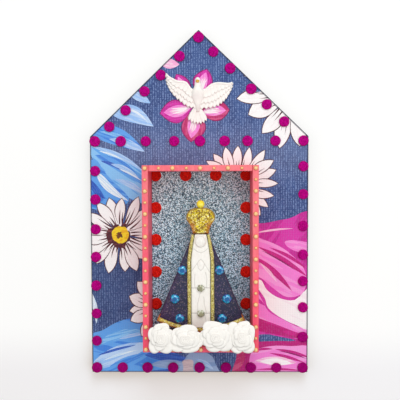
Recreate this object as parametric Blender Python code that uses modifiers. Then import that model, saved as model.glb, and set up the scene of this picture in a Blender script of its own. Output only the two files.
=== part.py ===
"""Wall shrine: a house-shaped wooden board with a fabric front and an open niche.

Metres, Z up. The front faces -Y and the wall is at +Y. Heights are measured from the
board's lower edge: every piece hangs under an empty there, which is placed so that the
world origin lies on the board's back face, where it meets the wall.
"""
import math

import bmesh
import bpy
from mathutils import Matrix, Vector

# Clearance between glued neighbours.
GAP = 0.0003

# House-shaped board.
BOARD_WIDTH = 0.218
EAVE_MARGIN = 0.0288
GABLE_HEIGHT = 0.1052
BOARD_THICKNESS = 0.012
EDGE_ROUND = 0.0005
MOUNT_HEIGHT = 0.160

# Fabric on the front and the felt dots along its edges.
FABRIC_MARGIN = 0.0008
FABRIC_THICKNESS = 0.0007
DOT_RADIUS = 0.0052
DOT_THICKNESS = 0.0018
DOT_SIDES = 14
DOT_INSET = 0.0052
EAVE_DOT_DROP = 0.0046
APEX_DOT_DROP = 0.0073
GLUE_LINE_WIDTH = 0.0012
GLUE_LINE_THICKNESS = 0.0003
# Hand-set spacing, as fractions of each row's length.
ROOF_LEFT_STEPS = (0.0, 0.182, 0.362, 0.518, 0.700, 0.858)
ROOF_RIGHT_STEPS = (0.140, 0.300, 0.499, 0.649, 0.815)
EAVE_STEPS = (0.0, 0.125, 0.245, 0.382, 0.505, 0.623, 0.733, 0.866, 1.0)
SIDE_LEFT_STEPS = (0.129, 0.254, 0.385, 0.507, 0.634, 0.758, 0.880, 1.0)
SIDE_RIGHT_STEPS = (0.111, 0.233, 0.372, 0.498, 0.615, 0.731, 0.863, 1.0)
BASE_STEPS = (0.125, 0.246, 0.371, 0.500, 0.628, 0.749, 0.873)

# Box that forms the niche.
NICHE_OFFSET = 0.0018
NICHE_WIDTH = 0.1092
NICHE_BOTTOM = 0.0326
NICHE_HEIGHT = 0.1766
NICHE_DEPTH = 0.0420
WALL_THICKNESS = 0.0058
PANEL_THICKNESS = 0.0030
GLITTER_THICKNESS = 0.0008

# Red dots inside, half-pearl strings on the front edges.
NICHE_DOT_RADIUS = 0.0057
NICHE_DOT_INSET = 0.0040
NICHE_DOT_PITCH = 0.0320
NICHE_DOTS_PER_SIDE = 4
PEARL_RADIUS = 0.0022
SMALL_PEARL_RADIUS = 0.0016
PEARL_RISE = 0.9
PEARLS_PER_SIDE = 17
PEARLS_ACROSS = 9

# Figure made of flat layers, standing in a slotted foot. Heights are above the niche floor.
FIGURE_SETBACK = 0.0150
BACK_PLATE_THICKNESS = 0.0030
LAYER_THICKNESS = 0.0020
ROBE_STEP = 0.0004
MANTLE_CENTRE_HEIGHT = 0.1016
MANTLE_RADIUS = 0.0872
MANTLE_HALF_ANGLE = math.radians(27.2)
SHOULDER_HALF_WIDTH = 0.0066
HEM_WIDTH = 0.0040
HEM_FLATNESS = 0.45
HEM_SEGMENTS = 16
BACK_PLATE_MARGIN = 0.0008
ROBE_HALF_WIDTH = 0.0091
ROBE_NECK_HALF_WIDTH = 0.0054
ROBE_TAPER_HEIGHT = 0.0786
ROBE_TOP_HEIGHT = 0.1044
ROBE_TIER_HEIGHTS = (0.0141, 0.0279, 0.0526)
BRAID_WIDTH = 0.0032
BRAID_TOP_WIDTH = 0.0026
BRAID_FLATNESS = 0.75
BRAID_SEGMENTS = 14
HEAD_HALF_WIDTH = 0.0056
HEAD_HALF_HEIGHT = 0.0062
HEAD_DROP = 0.0062
HEAD_RELIEF = 0.0020
CROWN_CLEARANCE = 0.0012
CROWN_TALL = 0.0236
CROWN_HALF_WIDTH = 0.0132
CROWN_THICKNESS = 0.0036
BEAD_RADIUS = 0.0040
PIN_RADIUS = 0.0005
PIN_DEPTH = 0.0070
PIN_TIP = 0.0012
STONE_RADIUS = 0.0041
CLEAR_STONE_RADIUS = 0.0033
STONE_SIDES = 10
# Each row of mantle stones: distance past the braid, height.
STONE_ROWS = ((0.0007, 0.0696), (0.0079, 0.0418), (0.0032, 0.0226))
TAB_HALF_WIDTH = 0.0200
FOOT_HALF_WIDTH = 0.0320
FOOT_DEPTH = 0.0160
FOOT_HEIGHT = 0.0060

# Roses: sideways place from the niche's middle and half width, as shares of the niche's width.
ROSE_SHARES = ((-0.3434, 0.0905), (-0.1273, 0.1209), (0.1280, 0.1190), (0.3530, 0.1016))
ROSE_HALF_HEIGHT = 0.0150
ROSE_HEIGHT = 0.0118
ROSE_DEPTH = 0.0105
ROSE_STEM_DEPTH = 0.0110
ROSE_STEM_SHARE = 0.62
ROSE_SIDES = 20
ROSE_RINGS = 12
ROSE_TURNS = 2.5
ROSE_PETALS = 5

# Cast dove: places and reaches are shares of the gable's height.
DOVE_OFFSET_SHARE = 0.004
DOVE_RISE_SHARE = 0.361
DOVE_LEFT_TIP_SHARE = (0.306, 0.226)
DOVE_RIGHT_TIP_SHARE = (0.319, 0.146)
DOVE_FEATHERS = 7
DOVE_TAIL_REACH_SHARE = 0.249
DOVE_TAIL_SPREAD_SHARE = 0.093
DOVE_BODY_REACH_SHARE = 0.176
DOVE_BODY_BREADTH_SHARE = 0.059
DOVE_WING_THICKNESS = 0.0026
DOVE_BODY_DEPTH = 0.0030
DOVE_BODY_SEAT = 0.0016
BEAK_LENGTH = 0.0044
BEAK_RADIUS = 0.0015
BEAK_TIP_RADIUS = 0.0004

# Hanger in a pocket in the board's back.
HINGE_DROP = 0.0472
POCKET_HALF_WIDTH = 0.0130
POCKET_BELOW = 0.0210
POCKET_ABOVE = 0.0200
POCKET_DEPTH = 0.0050
STRAP_HALF_WIDTH = 0.0050
STRAP_LENGTH = 0.0178
STRAP_THICKNESS = 0.0008
STRAP_ROLL = math.radians(290)
WIRE_RADIUS = 0.0010
RING_HALF_WIDTH = 0.0080
RING_LENGTH = 0.0150
RING_CORNER = 0.0025
SCREW_DROPS = (0.0062, 0.0130)
SCREW_RADIUS = 0.0011
SCREW_HEAD_RADIUS = 0.0022
SCREW_HEAD_HEIGHT = 0.0012
SCREW_LENGTH = 0.0066

# Planes and heights derived from the sizes above.
BOARD_FRONT = -BOARD_THICKNESS
FABRIC_BACK = BOARD_FRONT - GAP
FABRIC_FRONT = FABRIC_BACK - FABRIC_THICKNESS
NICHE_BACK = FABRIC_FRONT - GAP
NICHE_FRONT = NICHE_BACK - NICHE_DEPTH
PANEL_FRONT = NICHE_BACK - PANEL_THICKNESS
GLITTER_FRONT = PANEL_FRONT - GAP - GLITTER_THICKNESS
FIGURE_BACK = GLITTER_FRONT - FIGURE_SETBACK
FIGURE_FRONT = FIGURE_BACK - BACK_PLATE_THICKNESS
MANTLE_FRONT = FIGURE_FRONT - GAP - LAYER_THICKNESS
ROBE_FRONT = MANTLE_FRONT - GAP - LAYER_THICKNESS
INNER_HALF_WIDTH = NICHE_WIDTH / 2 - WALL_THICKNESS
NICHE_TOP = NICHE_BOTTOM + NICHE_HEIGHT
EAVE_HEIGHT = NICHE_TOP + EAVE_MARGIN
APEX_HEIGHT = EAVE_HEIGHT + GABLE_HEIGHT
CROWN_BASE_HEIGHT = ROBE_TOP_HEIGHT + CROWN_CLEARANCE
HINGE_HEIGHT = APEX_HEIGHT - HINGE_DROP
FLOOR_HEIGHT = NICHE_BOTTOM + WALL_THICKNESS
CEILING_HEIGHT = NICHE_TOP - WALL_THICKNESS
STRAP_BACK = -POCKET_DEPTH + GAP
STRAP_FRONT = STRAP_BACK + STRAP_THICKNESS
EYE_RADIUS = WIRE_RADIUS + GAP
EYE_OUTER_RADIUS = EYE_RADIUS + STRAP_THICKNESS
HINGE_DEPTH = STRAP_BACK + EYE_OUTER_RADIUS


def make_collection(name):
    collection = bpy.data.collections.new(name)
    bpy.context.scene.collection.children.link(collection)
    return collection


for old in list(bpy.data.objects):
    bpy.data.objects.remove(old, do_unlink=True)
parts = make_collection("chapel_shrine")
cutters = make_collection("cutters")
lower_edge = bpy.data.objects.new("lower_edge", None)
lower_edge.location.z = -MOUNT_HEIGHT
parts.objects.link(lower_edge)


def make_material(name, colour, roughness, metallic=0.0):
    material = bpy.data.materials.new(name)
    material.use_nodes = True
    shader = material.node_tree.nodes["Principled BSDF"]
    shader.inputs["Base Color"].default_value = (*colour, 1.0)
    shader.inputs["Roughness"].default_value = roughness
    shader.inputs["Metallic"].default_value = metallic
    return material


board_wood = make_material("board_wood", (0.55, 0.40, 0.25), 0.7)
printed_fabric = make_material("printed_fabric", (0.08, 0.12, 0.30), 0.9)
magenta_felt = make_material("magenta_felt", (0.45, 0.01, 0.20), 0.95)
red_felt = make_material("red_felt", (0.40, 0.01, 0.01), 0.95)
pink_paint = make_material("pink_paint", (0.80, 0.12, 0.18), 0.5)
panel_wood = make_material("panel_wood", (0.60, 0.45, 0.30), 0.7)
glitter_sheet = make_material("glitter_sheet", (0.30, 0.36, 0.42), 0.4, 0.5)
pearl = make_material("pearl", (0.90, 0.60, 0.35), 0.25)
gold_paint = make_material("gold_paint", (0.70, 0.42, 0.05), 0.4, 0.6)
navy_paint = make_material("navy_paint", (0.03, 0.03, 0.08), 0.7)
white_paint = make_material("white_paint", (0.88, 0.87, 0.85), 0.6)
yellow_glass = make_material("yellow_glass", (0.85, 0.60, 0.02), 0.15)
blue_stone = make_material("blue_stone", (0.02, 0.30, 0.55), 0.1)
clear_stone = make_material("clear_stone", (0.75, 0.78, 0.72), 0.1)
white_resin = make_material("white_resin", (0.88, 0.86, 0.82), 0.5)
white_petal = make_material("white_petal", (0.90, 0.88, 0.87), 0.7)
hanger_metal = make_material("hanger_metal", (0.65, 0.50, 0.22), 0.35, 1.0)


def add_object(name, data, material, location=(0.0, 0.0, 0.0)):
    """Link mesh or curve data as a part, or as a hidden cutter when it has no material."""
    obj = bpy.data.objects.new(name, data)
    obj.parent = lower_edge
    obj.location = location
    if material is None:
        cutters.objects.link(obj)
        obj.display_type = "WIRE"
        obj.hide_render = True
    else:
        data.materials.append(material)
        parts.objects.link(obj)
    return obj


def add_mesh(name, builder, material, location=(0.0, 0.0, 0.0), smooth=False):
    mesh = bpy.data.meshes.new(name)
    builder.to_mesh(mesh)
    builder.free()
    if smooth:
        mesh.shade_smooth()
        mesh.set_sharp_from_angle(angle=math.radians(40))
    return add_object(name, mesh, material, location)


def boolean(obj, cutter, operation):
    modifier = obj.modifiers.new(cutter.name, "BOOLEAN")
    modifier.operation = operation
    modifier.solver = "EXACT"
    modifier.object = cutter


def round_edges(obj, width):
    modifier = obj.modifiers.new("rounded_edges", "BEVEL")
    modifier.width = width
    modifier.segments = 1
    modifier.limit_method = "ANGLE"
    modifier.angle_limit = math.radians(40)


def build_box(builder, low, high):
    size = Vector(high) - Vector(low)
    middle = (Vector(high) + Vector(low)) / 2
    scale = Matrix.Diagonal((abs(size.x), abs(size.y), abs(size.z), 1.0))
    bmesh.ops.create_cube(builder, size=1.0, matrix=Matrix.Translation(middle) @ scale)


def add_box(name, low, high, material):
    builder = bmesh.new()
    build_box(builder, low, high)
    return add_mesh(name, builder, material)


def build_disc(builder, x, z, radius, back, front, sides):
    """Cylinder whose axis runs from the back plane to the front plane."""
    turn = Matrix.Rotation(math.pi / 2, 4, "X")
    place = Matrix.Translation((x, (back + front) / 2, z)) @ turn
    bmesh.ops.create_cone(
        builder, cap_ends=True, segments=sides, radius1=radius, radius2=radius,
        depth=abs(back - front), matrix=place,
    )


def trim(builder, point, outward):
    """Cut everything beyond a plane away and close the cut."""
    geometry = builder.verts[:] + builder.edges[:] + builder.faces[:]
    cut = bmesh.ops.bisect_plane(
        builder, geom=geometry, plane_co=point, plane_no=outward, clear_outer=True,
    )
    rim = [item for item in cut["geom_cut"] if isinstance(item, bmesh.types.BMEdge)]
    if rim:
        bmesh.ops.holes_fill(builder, edges=rim)


def half_ball(x, z, half_width, half_height, back, rise, sides, rings):
    """Flat-backed dome that rises towards the front."""
    builder = bmesh.new()
    turn = Matrix.Rotation(math.pi / 2, 4, "X")
    scale = Matrix.Diagonal((half_width, rise, half_height, 1.0))
    place = Matrix.Translation((x, back, z)) @ scale @ turn
    bmesh.ops.create_uvsphere(builder, u_segments=sides, v_segments=rings, radius=1.0, matrix=place)
    trim(builder, (x, back, z), (0.0, 1.0, 0.0))
    return builder


def append_builder(target, source):
    mesh = bpy.data.meshes.new("member")
    source.to_mesh(mesh)
    source.free()
    target.from_mesh(mesh)
    bpy.data.meshes.remove(mesh)


def curve_to_mesh(obj):
    """Swap a curve object for the closed mesh that it draws."""
    bpy.context.view_layer.update()
    graph = bpy.context.evaluated_depsgraph_get()
    mesh = bpy.data.meshes.new_from_object(obj.evaluated_get(graph))
    builder = bmesh.new()
    builder.from_mesh(mesh)
    bmesh.ops.remove_doubles(builder, verts=builder.verts, dist=0.000005)
    bmesh.ops.recalc_face_normals(builder, faces=builder.faces)
    builder.to_mesh(mesh)
    builder.free()
    name = obj.name
    solid = bpy.data.objects.new(name, mesh)
    for collection in obj.users_collection:
        collection.objects.link(solid)
    solid.parent = obj.parent
    solid.matrix_world = obj.matrix_world
    solid.display_type = obj.display_type
    solid.hide_render = obj.hide_render
    bpy.data.objects.remove(obj, do_unlink=True)
    solid.name = name
    return solid


def add_outline(name, outline, back, front, material):
    """Flat piece cut to an outline of (x, z) points, between two planes."""
    curve = bpy.data.curves.new(name, "CURVE")
    curve.dimensions = "2D"
    curve.fill_mode = "BOTH"
    curve.extrude = abs(back - front) / 2
    spline = curve.splines.new("POLY")
    spline.points.add(len(outline) - 1)
    for point, (x, z) in zip(spline.points, outline):
        point.co = (x, z, 0.0, 1.0)
    spline.use_cyclic_u = True
    obj = add_object(name, curve, material, (0.0, (back + front) / 2, 0.0))
    obj.rotation_euler.x = math.pi / 2
    return curve_to_mesh(obj)


def add_cord(name, spine, widths, flatness, back, material):
    """Round trim laid along (x, z) points, pressed flat towards its backing."""
    curve = bpy.data.curves.new(name, "CURVE")
    curve.dimensions = "3D"
    curve.bevel_depth = max(widths) / 2
    curve.bevel_resolution = 1
    curve.use_fill_caps = True
    spline = curve.splines.new("POLY")
    spline.points.add(len(spine) - 1)
    for point, (x, z), width in zip(spline.points, spine, widths):
        point.co = (x, 0.0, z, 1.0)
        point.radius = width / max(widths)
    rise = max(widths) / 2 * flatness
    obj = add_object(name, curve, material, (0.0, back - rise, 0.0))
    obj.scale.y = flatness
    return curve_to_mesh(obj)


def add_turned(name, profile, steps, material, location, tilt):
    """Turn an (r, z) profile, listed from top to bottom, about its own axis."""
    mesh = bpy.data.meshes.new(name)
    builder = bmesh.new()
    points = [builder.verts.new((radius, 0.0, height)) for radius, height in profile]
    for first, second in zip(points, points[1:]):
        builder.edges.new((first, second))
    builder.to_mesh(mesh)
    builder.free()
    obj = add_object(name, mesh, material, location)
    obj.rotation_euler.x = tilt
    screw = obj.modifiers.new("turned", "SCREW")
    screw.axis = "Z"
    screw.angle = 2 * math.pi
    screw.steps = steps
    screw.render_steps = steps
    screw.use_merge_vertices = True
    screw.merge_threshold = 0.00001
    return obj


def along(start, end, fraction):
    return tuple(a + (b - a) * fraction for a, b in zip(start, end))


# Board with its hanger pocket and pilot holes.
half_board = BOARD_WIDTH / 2


def house(margin):
    """House outline, drawn in from the board's edge by a margin."""
    slope = math.atan2(APEX_HEIGHT - EAVE_HEIGHT, half_board)
    eave = EAVE_HEIGHT - margin * math.tan((math.pi / 2 - slope) / 2)
    side = half_board - margin
    apex_height = APEX_HEIGHT - margin / math.cos(slope)
    return [(-side, margin), (side, margin), (side, eave), (0.0, apex_height), (-side, eave)]


board = add_outline("back_board", house(0.0), 0.0, BOARD_FRONT, board_wood)
round_edges(board, EDGE_ROUND)
pocket_low = (-POCKET_HALF_WIDTH, -POCKET_DEPTH, HINGE_HEIGHT - POCKET_BELOW)
pocket_high = (POCKET_HALF_WIDTH, POCKET_DEPTH, HINGE_HEIGHT + POCKET_ABOVE)
boolean(board, add_box("hanger_pocket", pocket_low, pocket_high, None), "DIFFERENCE")
screw_seat = STRAP_FRONT + GAP
for index, drop in enumerate(SCREW_DROPS):
    pilot = bmesh.new()
    tip = screw_seat - SCREW_LENGTH - GAP
    build_disc(pilot, 0.0, HINGE_HEIGHT - drop, SCREW_RADIUS + GAP, STRAP_BACK + GAP, tip, 10)
    boolean(board, add_mesh("pilot_hole_%d" % (index + 1), pilot, None), "DIFFERENCE")

add_outline("fabric_cover", house(FABRIC_MARGIN), FABRIC_BACK, FABRIC_FRONT, printed_fabric)


def add_row(name, centres, glue_back, material, build_member):
    """Row of small pieces that hangs together by the thin glue line under it."""
    start = Vector(centres[0])
    end = Vector(centres[-1])
    span = end - start
    middle = (start + end) / 2
    glue_middle = glue_back - GLUE_LINE_THICKNESS / 2
    glue = bmesh.new()
    scale = Matrix.Diagonal((span.length, GLUE_LINE_THICKNESS, GLUE_LINE_WIDTH, 1.0))
    turn = Matrix.Rotation(-math.atan2(span.y, span.x), 4, "Y")
    place = Matrix.Translation((middle.x, glue_middle, middle.y)) @ turn @ scale
    bmesh.ops.create_cube(glue, size=1.0, matrix=place)
    row = add_mesh(name, glue, material)
    members = bmesh.new()
    for number, (x, z) in enumerate(centres):
        build_member(members, number, x, z)
    boolean(row, add_mesh(name + "_members", members, None), "UNION")


# Magenta felt dots along the board's edges and its eave line.
dot_back = FABRIC_FRONT - GAP
dot_glue = dot_back - GLUE_LINE_THICKNESS / 4
row_side = half_board - DOT_INSET
row_eave = EAVE_HEIGHT - EAVE_DOT_DROP
apex = (0.0, APEX_HEIGHT - APEX_DOT_DROP)
left_eave = (-row_side, row_eave)
right_eave = (row_side, row_eave)
left_base = (-row_side, DOT_INSET)
right_base = (row_side, DOT_INSET)


def build_felt_dot(members, number, x, z):
    build_disc(members, x, z, DOT_RADIUS, dot_back, dot_back - DOT_THICKNESS, DOT_SIDES)


for row_name, start, end, steps in (
    ("dots_roof_left", apex, left_eave, ROOF_LEFT_STEPS),
    ("dots_roof_right", apex, right_eave, ROOF_RIGHT_STEPS),
    ("dots_eave", left_eave, right_eave, EAVE_STEPS),
    ("dots_side_left", left_eave, left_base, SIDE_LEFT_STEPS),
    ("dots_side_right", right_eave, right_base, SIDE_RIGHT_STEPS),
    ("dots_base", left_base, right_base, BASE_STEPS),
):
    places = [along(start, end, step) for step in steps]
    add_row(row_name, places, dot_glue, magenta_felt, build_felt_dot)

# Niche box: side walls run full height, the others fit between them.
outer_left = NICHE_OFFSET - NICHE_WIDTH / 2
outer_right = NICHE_OFFSET + NICHE_WIDTH / 2
inner_left = NICHE_OFFSET - INNER_HALF_WIDTH
inner_right = NICHE_OFFSET + INNER_HALF_WIDTH
fit_left = inner_left + GAP
fit_right = inner_right - GAP
for wall_name, left, right, bottom, top in (
    ("niche_left_wall", outer_left, inner_left, NICHE_BOTTOM, NICHE_TOP),
    ("niche_right_wall", inner_right, outer_right, NICHE_BOTTOM, NICHE_TOP),
    ("niche_top_wall", fit_left, fit_right, CEILING_HEIGHT, NICHE_TOP),
    ("niche_bottom_wall", fit_left, fit_right, NICHE_BOTTOM, FLOOR_HEIGHT),
):
    wall = add_box(wall_name, (left, NICHE_FRONT, bottom), (right, NICHE_BACK, top), pink_paint)
    round_edges(wall, EDGE_ROUND)
inner_low = FLOOR_HEIGHT + GAP
inner_high = CEILING_HEIGHT - GAP
for sheet_name, front, back, material in (
    ("niche_back_panel", PANEL_FRONT, NICHE_BACK, panel_wood),
    ("glitter_backing", GLITTER_FRONT, PANEL_FRONT - GAP, glitter_sheet),
):
    add_box(sheet_name, (fit_left, front, inner_low), (fit_right, back, inner_high), material)

# Red dots on the glitter, trimmed where they meet the walls.
red_back = GLITTER_FRONT - GAP
red_reach = INNER_HALF_WIDTH - NICHE_DOT_INSET
red_top = CEILING_HEIGHT - NICHE_DOT_INSET
red_places = [(red_reach * share, red_top) for share in (-1.0, -1.0 / 3, 1.0 / 3, 1.0)]
for side in (-1.0, 1.0):
    for step in range(1, NICHE_DOTS_PER_SIDE + 1):
        red_places.append((red_reach * side, red_top - NICHE_DOT_PITCH * step))
for index, (offset, z) in enumerate(red_places):
    dot = bmesh.new()
    x = NICHE_OFFSET + offset
    build_disc(dot, x, z, NICHE_DOT_RADIUS, red_back, red_back - DOT_THICKNESS, DOT_SIDES)
    trim(dot, (fit_left, red_back, z), (-1.0, 0.0, 0.0))
    trim(dot, (fit_right, red_back, z), (1.0, 0.0, 0.0))
    trim(dot, (x, red_back, inner_high), (0.0, 0.0, 1.0))
    add_mesh("niche_dot_%02d" % (index + 1), dot, red_felt)

# Half-pearl strings on the box's front edges, large and small by turns.
pearl_back = NICHE_FRONT - GAP
pearl_glue = pearl_back - GLUE_LINE_THICKNESS / 4
rail_left = outer_left + WALL_THICKNESS / 2
rail_right = outer_right - WALL_THICKNESS / 2
rail_top = NICHE_TOP - WALL_THICKNESS / 2
rail_bottom = NICHE_BOTTOM + WALL_THICKNESS / 2


def build_pearl(members, number, x, z):
    radius = SMALL_PEARL_RADIUS if number % 2 else PEARL_RADIUS
    append_builder(members, half_ball(x, z, radius, radius, pearl_back, radius * PEARL_RISE, 8, 4))


def build_next_pearl(members, number, x, z):
    build_pearl(members, number + 1, x, z)


corners = {
    "left": ((rail_left, rail_top), (rail_left, rail_bottom)),
    "right": ((rail_right, rail_top), (rail_right, rail_bottom)),
    "top": ((rail_left, rail_top), (rail_right, rail_top)),
    "bottom": ((rail_left, rail_bottom), (rail_right, rail_bottom)),
}
for rail, (start, end) in corners.items():
    upright = rail in ("left", "right")
    count = PEARLS_PER_SIDE if upright else PEARLS_ACROSS
    first = 0 if upright else 1
    places = [along(start, end, step / (count - 1)) for step in range(first, count - first)]
    add_row("pearls_" + rail, places, pearl_glue, pearl, build_pearl if upright else build_next_pearl)


# Figure: outlines are drawn from the middle of the niche's floor.
def centred(points):
    return [(x + NICHE_OFFSET, z + FLOOR_HEIGHT) for x, z in points]


def mirrored(right_side):
    """Close an outline from its right half, listed from top to bottom."""
    left_side = [(-x, z) for x, z in reversed(right_side)]
    return centred(right_side + left_side)


def hem_arc(radius, from_angle, to_angle):
    points = []
    for i in range(HEM_SEGMENTS + 1):
        angle = from_angle + (to_angle - from_angle) * i / HEM_SEGMENTS
        points.append((radius * math.sin(angle), MANTLE_CENTRE_HEIGHT - radius * math.cos(angle)))
    return points


def crown_half(margin):
    """Right half of the crown: a dome that swells, then draws in to the band."""
    half = CROWN_HALF_WIDTH + margin
    tall = CROWN_TALL + margin
    points = []
    for i in range(8):
        turn = math.radians(6 + 100 * i / 7)
        points.append((half * math.sin(turn) ** 0.8, CROWN_BASE_HEIGHT + tall * (0.62 + 0.38 * math.cos(turn))))
    for i in range(1, 5):
        fall = i / 4
        waist = 0.55 + 0.42 * (1.0 - fall) ** 1.6
        points.append((half * waist, CROWN_BASE_HEIGHT + tall * 0.52 * (1.0 - fall)))
    return points


tab_end = GAP
plate_radius = MANTLE_RADIUS + GAP + HEM_WIDTH + BACK_PLATE_MARGIN
plate_angle = MANTLE_HALF_ANGLE + BACK_PLATE_MARGIN / MANTLE_RADIUS
plate_half = crown_half(BACK_PLATE_MARGIN)
plate_half.append((SHOULDER_HALF_WIDTH + BACK_PLATE_MARGIN, ROBE_TOP_HEIGHT))
plate_half += hem_arc(plate_radius, plate_angle, math.asin(TAB_HALF_WIDTH / plate_radius))
plate_half.append((TAB_HALF_WIDTH, tab_end))
add_outline("figure_back_plate", mirrored(plate_half), FIGURE_BACK, FIGURE_FRONT, gold_paint)

foot_middle = (FIGURE_BACK + FIGURE_FRONT) / 2
foot_bottom = FLOOR_HEIGHT + GAP
foot_low = (NICHE_OFFSET - FOOT_HALF_WIDTH, foot_middle - FOOT_DEPTH / 2, foot_bottom)
foot_high = (NICHE_OFFSET + FOOT_HALF_WIDTH, foot_middle + FOOT_DEPTH / 2, foot_bottom + FOOT_HEIGHT)
foot = add_box("figure_foot", foot_low, foot_high, panel_wood)
slot_half = TAB_HALF_WIDTH + GAP
slot_low = (NICHE_OFFSET - slot_half, FIGURE_FRONT - GAP, foot_bottom - FOOT_HEIGHT)
slot_high = (NICHE_OFFSET + slot_half, FIGURE_BACK + GAP, foot_bottom + 2 * FOOT_HEIGHT)
boolean(foot, add_box("foot_slot", slot_low, slot_high, None), "DIFFERENCE")

mantle_back = FIGURE_FRONT - GAP
mantle_half = [(SHOULDER_HALF_WIDTH, ROBE_TOP_HEIGHT)]
mantle_half += hem_arc(MANTLE_RADIUS, MANTLE_HALF_ANGLE, 0.0)[:-1]
add_outline("mantle", mirrored(mantle_half), mantle_back, MANTLE_FRONT, navy_paint)


def robe_half_width(height):
    rise = max((height - ROBE_TAPER_HEIGHT) / (ROBE_TOP_HEIGHT - ROBE_TAPER_HEIGHT), 0.0)
    return ROBE_HALF_WIDTH + (ROBE_NECK_HALF_WIDTH - ROBE_HALF_WIDTH) * rise ** 1.4


robe_back = MANTLE_FRONT - GAP
tier_edges = list(ROBE_TIER_HEIGHTS) + [ROBE_TOP_HEIGHT]
for tier, tier_name in enumerate(("robe_lower", "robe_middle", "robe_upper")):
    bottom = tier_edges[tier] + GAP / 2
    top = tier_edges[tier + 1] - GAP / 2
    steps = 8 if tier == 2 else 1
    heights = [top + (bottom - top) * i / steps for i in range(steps + 1)]
    right_edge = [(robe_half_width(height), height) for height in heights]
    tier_front = ROBE_FRONT + ROBE_STEP * (2 - tier)
    add_outline(tier_name, mirrored(right_edge), robe_back, tier_front, white_paint)

for side, braid_name in ((-1.0, "braid_left"), (1.0, "braid_right")):
    spine = []
    widths = []
    for i in range(BRAID_SEGMENTS + 1):
        height = along((ROBE_TIER_HEIGHTS[0],), (ROBE_TOP_HEIGHT - GAP,), i / BRAID_SEGMENTS)[0]
        rise = max((height - ROBE_TAPER_HEIGHT) / (ROBE_TOP_HEIGHT - ROBE_TAPER_HEIGHT), 0.0)
        width = BRAID_WIDTH + (BRAID_TOP_WIDTH - BRAID_WIDTH) * rise
        reach = robe_half_width(height) + 2 * GAP + width / 2
        spine.append((side * reach, height))
        widths.append(width)
    add_cord(braid_name, centred(spine), widths, BRAID_FLATNESS, robe_back, gold_paint)

hem_middle = MANTLE_RADIUS + GAP + HEM_WIDTH / 2
hem_spine = centred(hem_arc(hem_middle, -MANTLE_HALF_ANGLE, MANTLE_HALF_ANGLE))
add_cord("hem_trim", hem_spine, [HEM_WIDTH] * len(hem_spine), HEM_FLATNESS, mantle_back, gold_paint)

head_back = ROBE_FRONT - GAP
head_middle = FLOOR_HEIGHT + ROBE_TOP_HEIGHT - HEAD_DROP
head = half_ball(NICHE_OFFSET, head_middle, HEAD_HALF_WIDTH, HEAD_HALF_HEIGHT, head_back, HEAD_RELIEF, 16, 6)
add_mesh("head", head, white_paint, smooth=True)

# Crown, and the bead that a pin holds on its top.
crown_back = FIGURE_FRONT - GAP
crown_front = crown_back - CROWN_THICKNESS
crown_middle = (crown_back + crown_front) / 2
crown_top = FLOOR_HEIGHT + CROWN_BASE_HEIGHT + CROWN_TALL
crown = add_outline("crown", mirrored(crown_half(0.0)), crown_back, crown_front, gold_paint)
round_edges(crown, EDGE_ROUND)
bead_height = crown_top + GAP + BEAD_RADIUS


def upright_rod(radius, bottom, top, sides):
    builder = bmesh.new()
    place = Matrix.Translation((NICHE_OFFSET, crown_middle, (bottom + top) / 2))
    bmesh.ops.create_cone(
        builder, cap_ends=True, segments=sides, radius1=radius, radius2=radius,
        depth=top - bottom, matrix=place,
    )
    return builder


bead = bmesh.new()
bead_place = Matrix.Translation((NICHE_OFFSET, crown_middle, bead_height))
bmesh.ops.create_uvsphere(bead, u_segments=14, v_segments=9, radius=BEAD_RADIUS, matrix=bead_place)
bead_object = add_mesh("crown_bead", bead, yellow_glass, smooth=True)
pin_bottom = crown_top - PIN_DEPTH
pin_top = bead_height + BEAD_RADIUS + PIN_TIP
pin_hole = upright_rod(PIN_RADIUS + GAP, pin_bottom - GAP, pin_top + BEAD_RADIUS, 10)
pin_cutter = add_mesh("pin_hole", pin_hole, None)
boolean(crown, pin_cutter, "DIFFERENCE")
boolean(bead_object, pin_cutter, "DIFFERENCE")
add_mesh("crown_pin", upright_rod(PIN_RADIUS, pin_bottom, pin_top, 8), hanger_metal)


# Flat-backed stones on the mantle and on the robe's tier lines.
def add_stone(name, x, z, radius, back, material):
    profile = ((0.0, 0.60), (0.52, 0.60), (0.86, 0.42), (1.0, 0.16), (0.92, 0.0), (0.0, 0.0))
    outline = [(radius * across, radius * up) for across, up in profile]
    add_turned(name, outline, STONE_SIDES, material, (x, back, z), math.pi / 2)


stone_reach = ROBE_HALF_WIDTH + 3 * GAP + BRAID_WIDTH + STONE_RADIUS
for side, side_name in ((-1.0, "left"), (1.0, "right")):
    for row, (extra, height) in enumerate(STONE_ROWS):
        x = NICHE_OFFSET + side * (stone_reach + extra)
        stone_name = "mantle_stone_%s_%d" % (side_name, row + 1)
        add_stone(stone_name, x, FLOOR_HEIGHT + height, STONE_RADIUS, MANTLE_FRONT - GAP, blue_stone)
for index, height in enumerate(ROBE_TIER_HEIGHTS[1:]):
    stone_name = "robe_stone_%d" % (index + 1)
    stone_height = FLOOR_HEIGHT + height
    add_stone(stone_name, NICHE_OFFSET, stone_height, CLEAR_STONE_RADIUS, ROBE_FRONT - GAP, clear_stone)

# Roses: a petalled front before the box's edge, a stem end that sits on its floor.
rose_back = pearl_back - PEARL_RADIUS * PEARL_RISE - GAP
rose_middle = FLOOR_HEIGHT + ROSE_HEIGHT
stem_half_height = ROSE_HEIGHT - GAP


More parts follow.
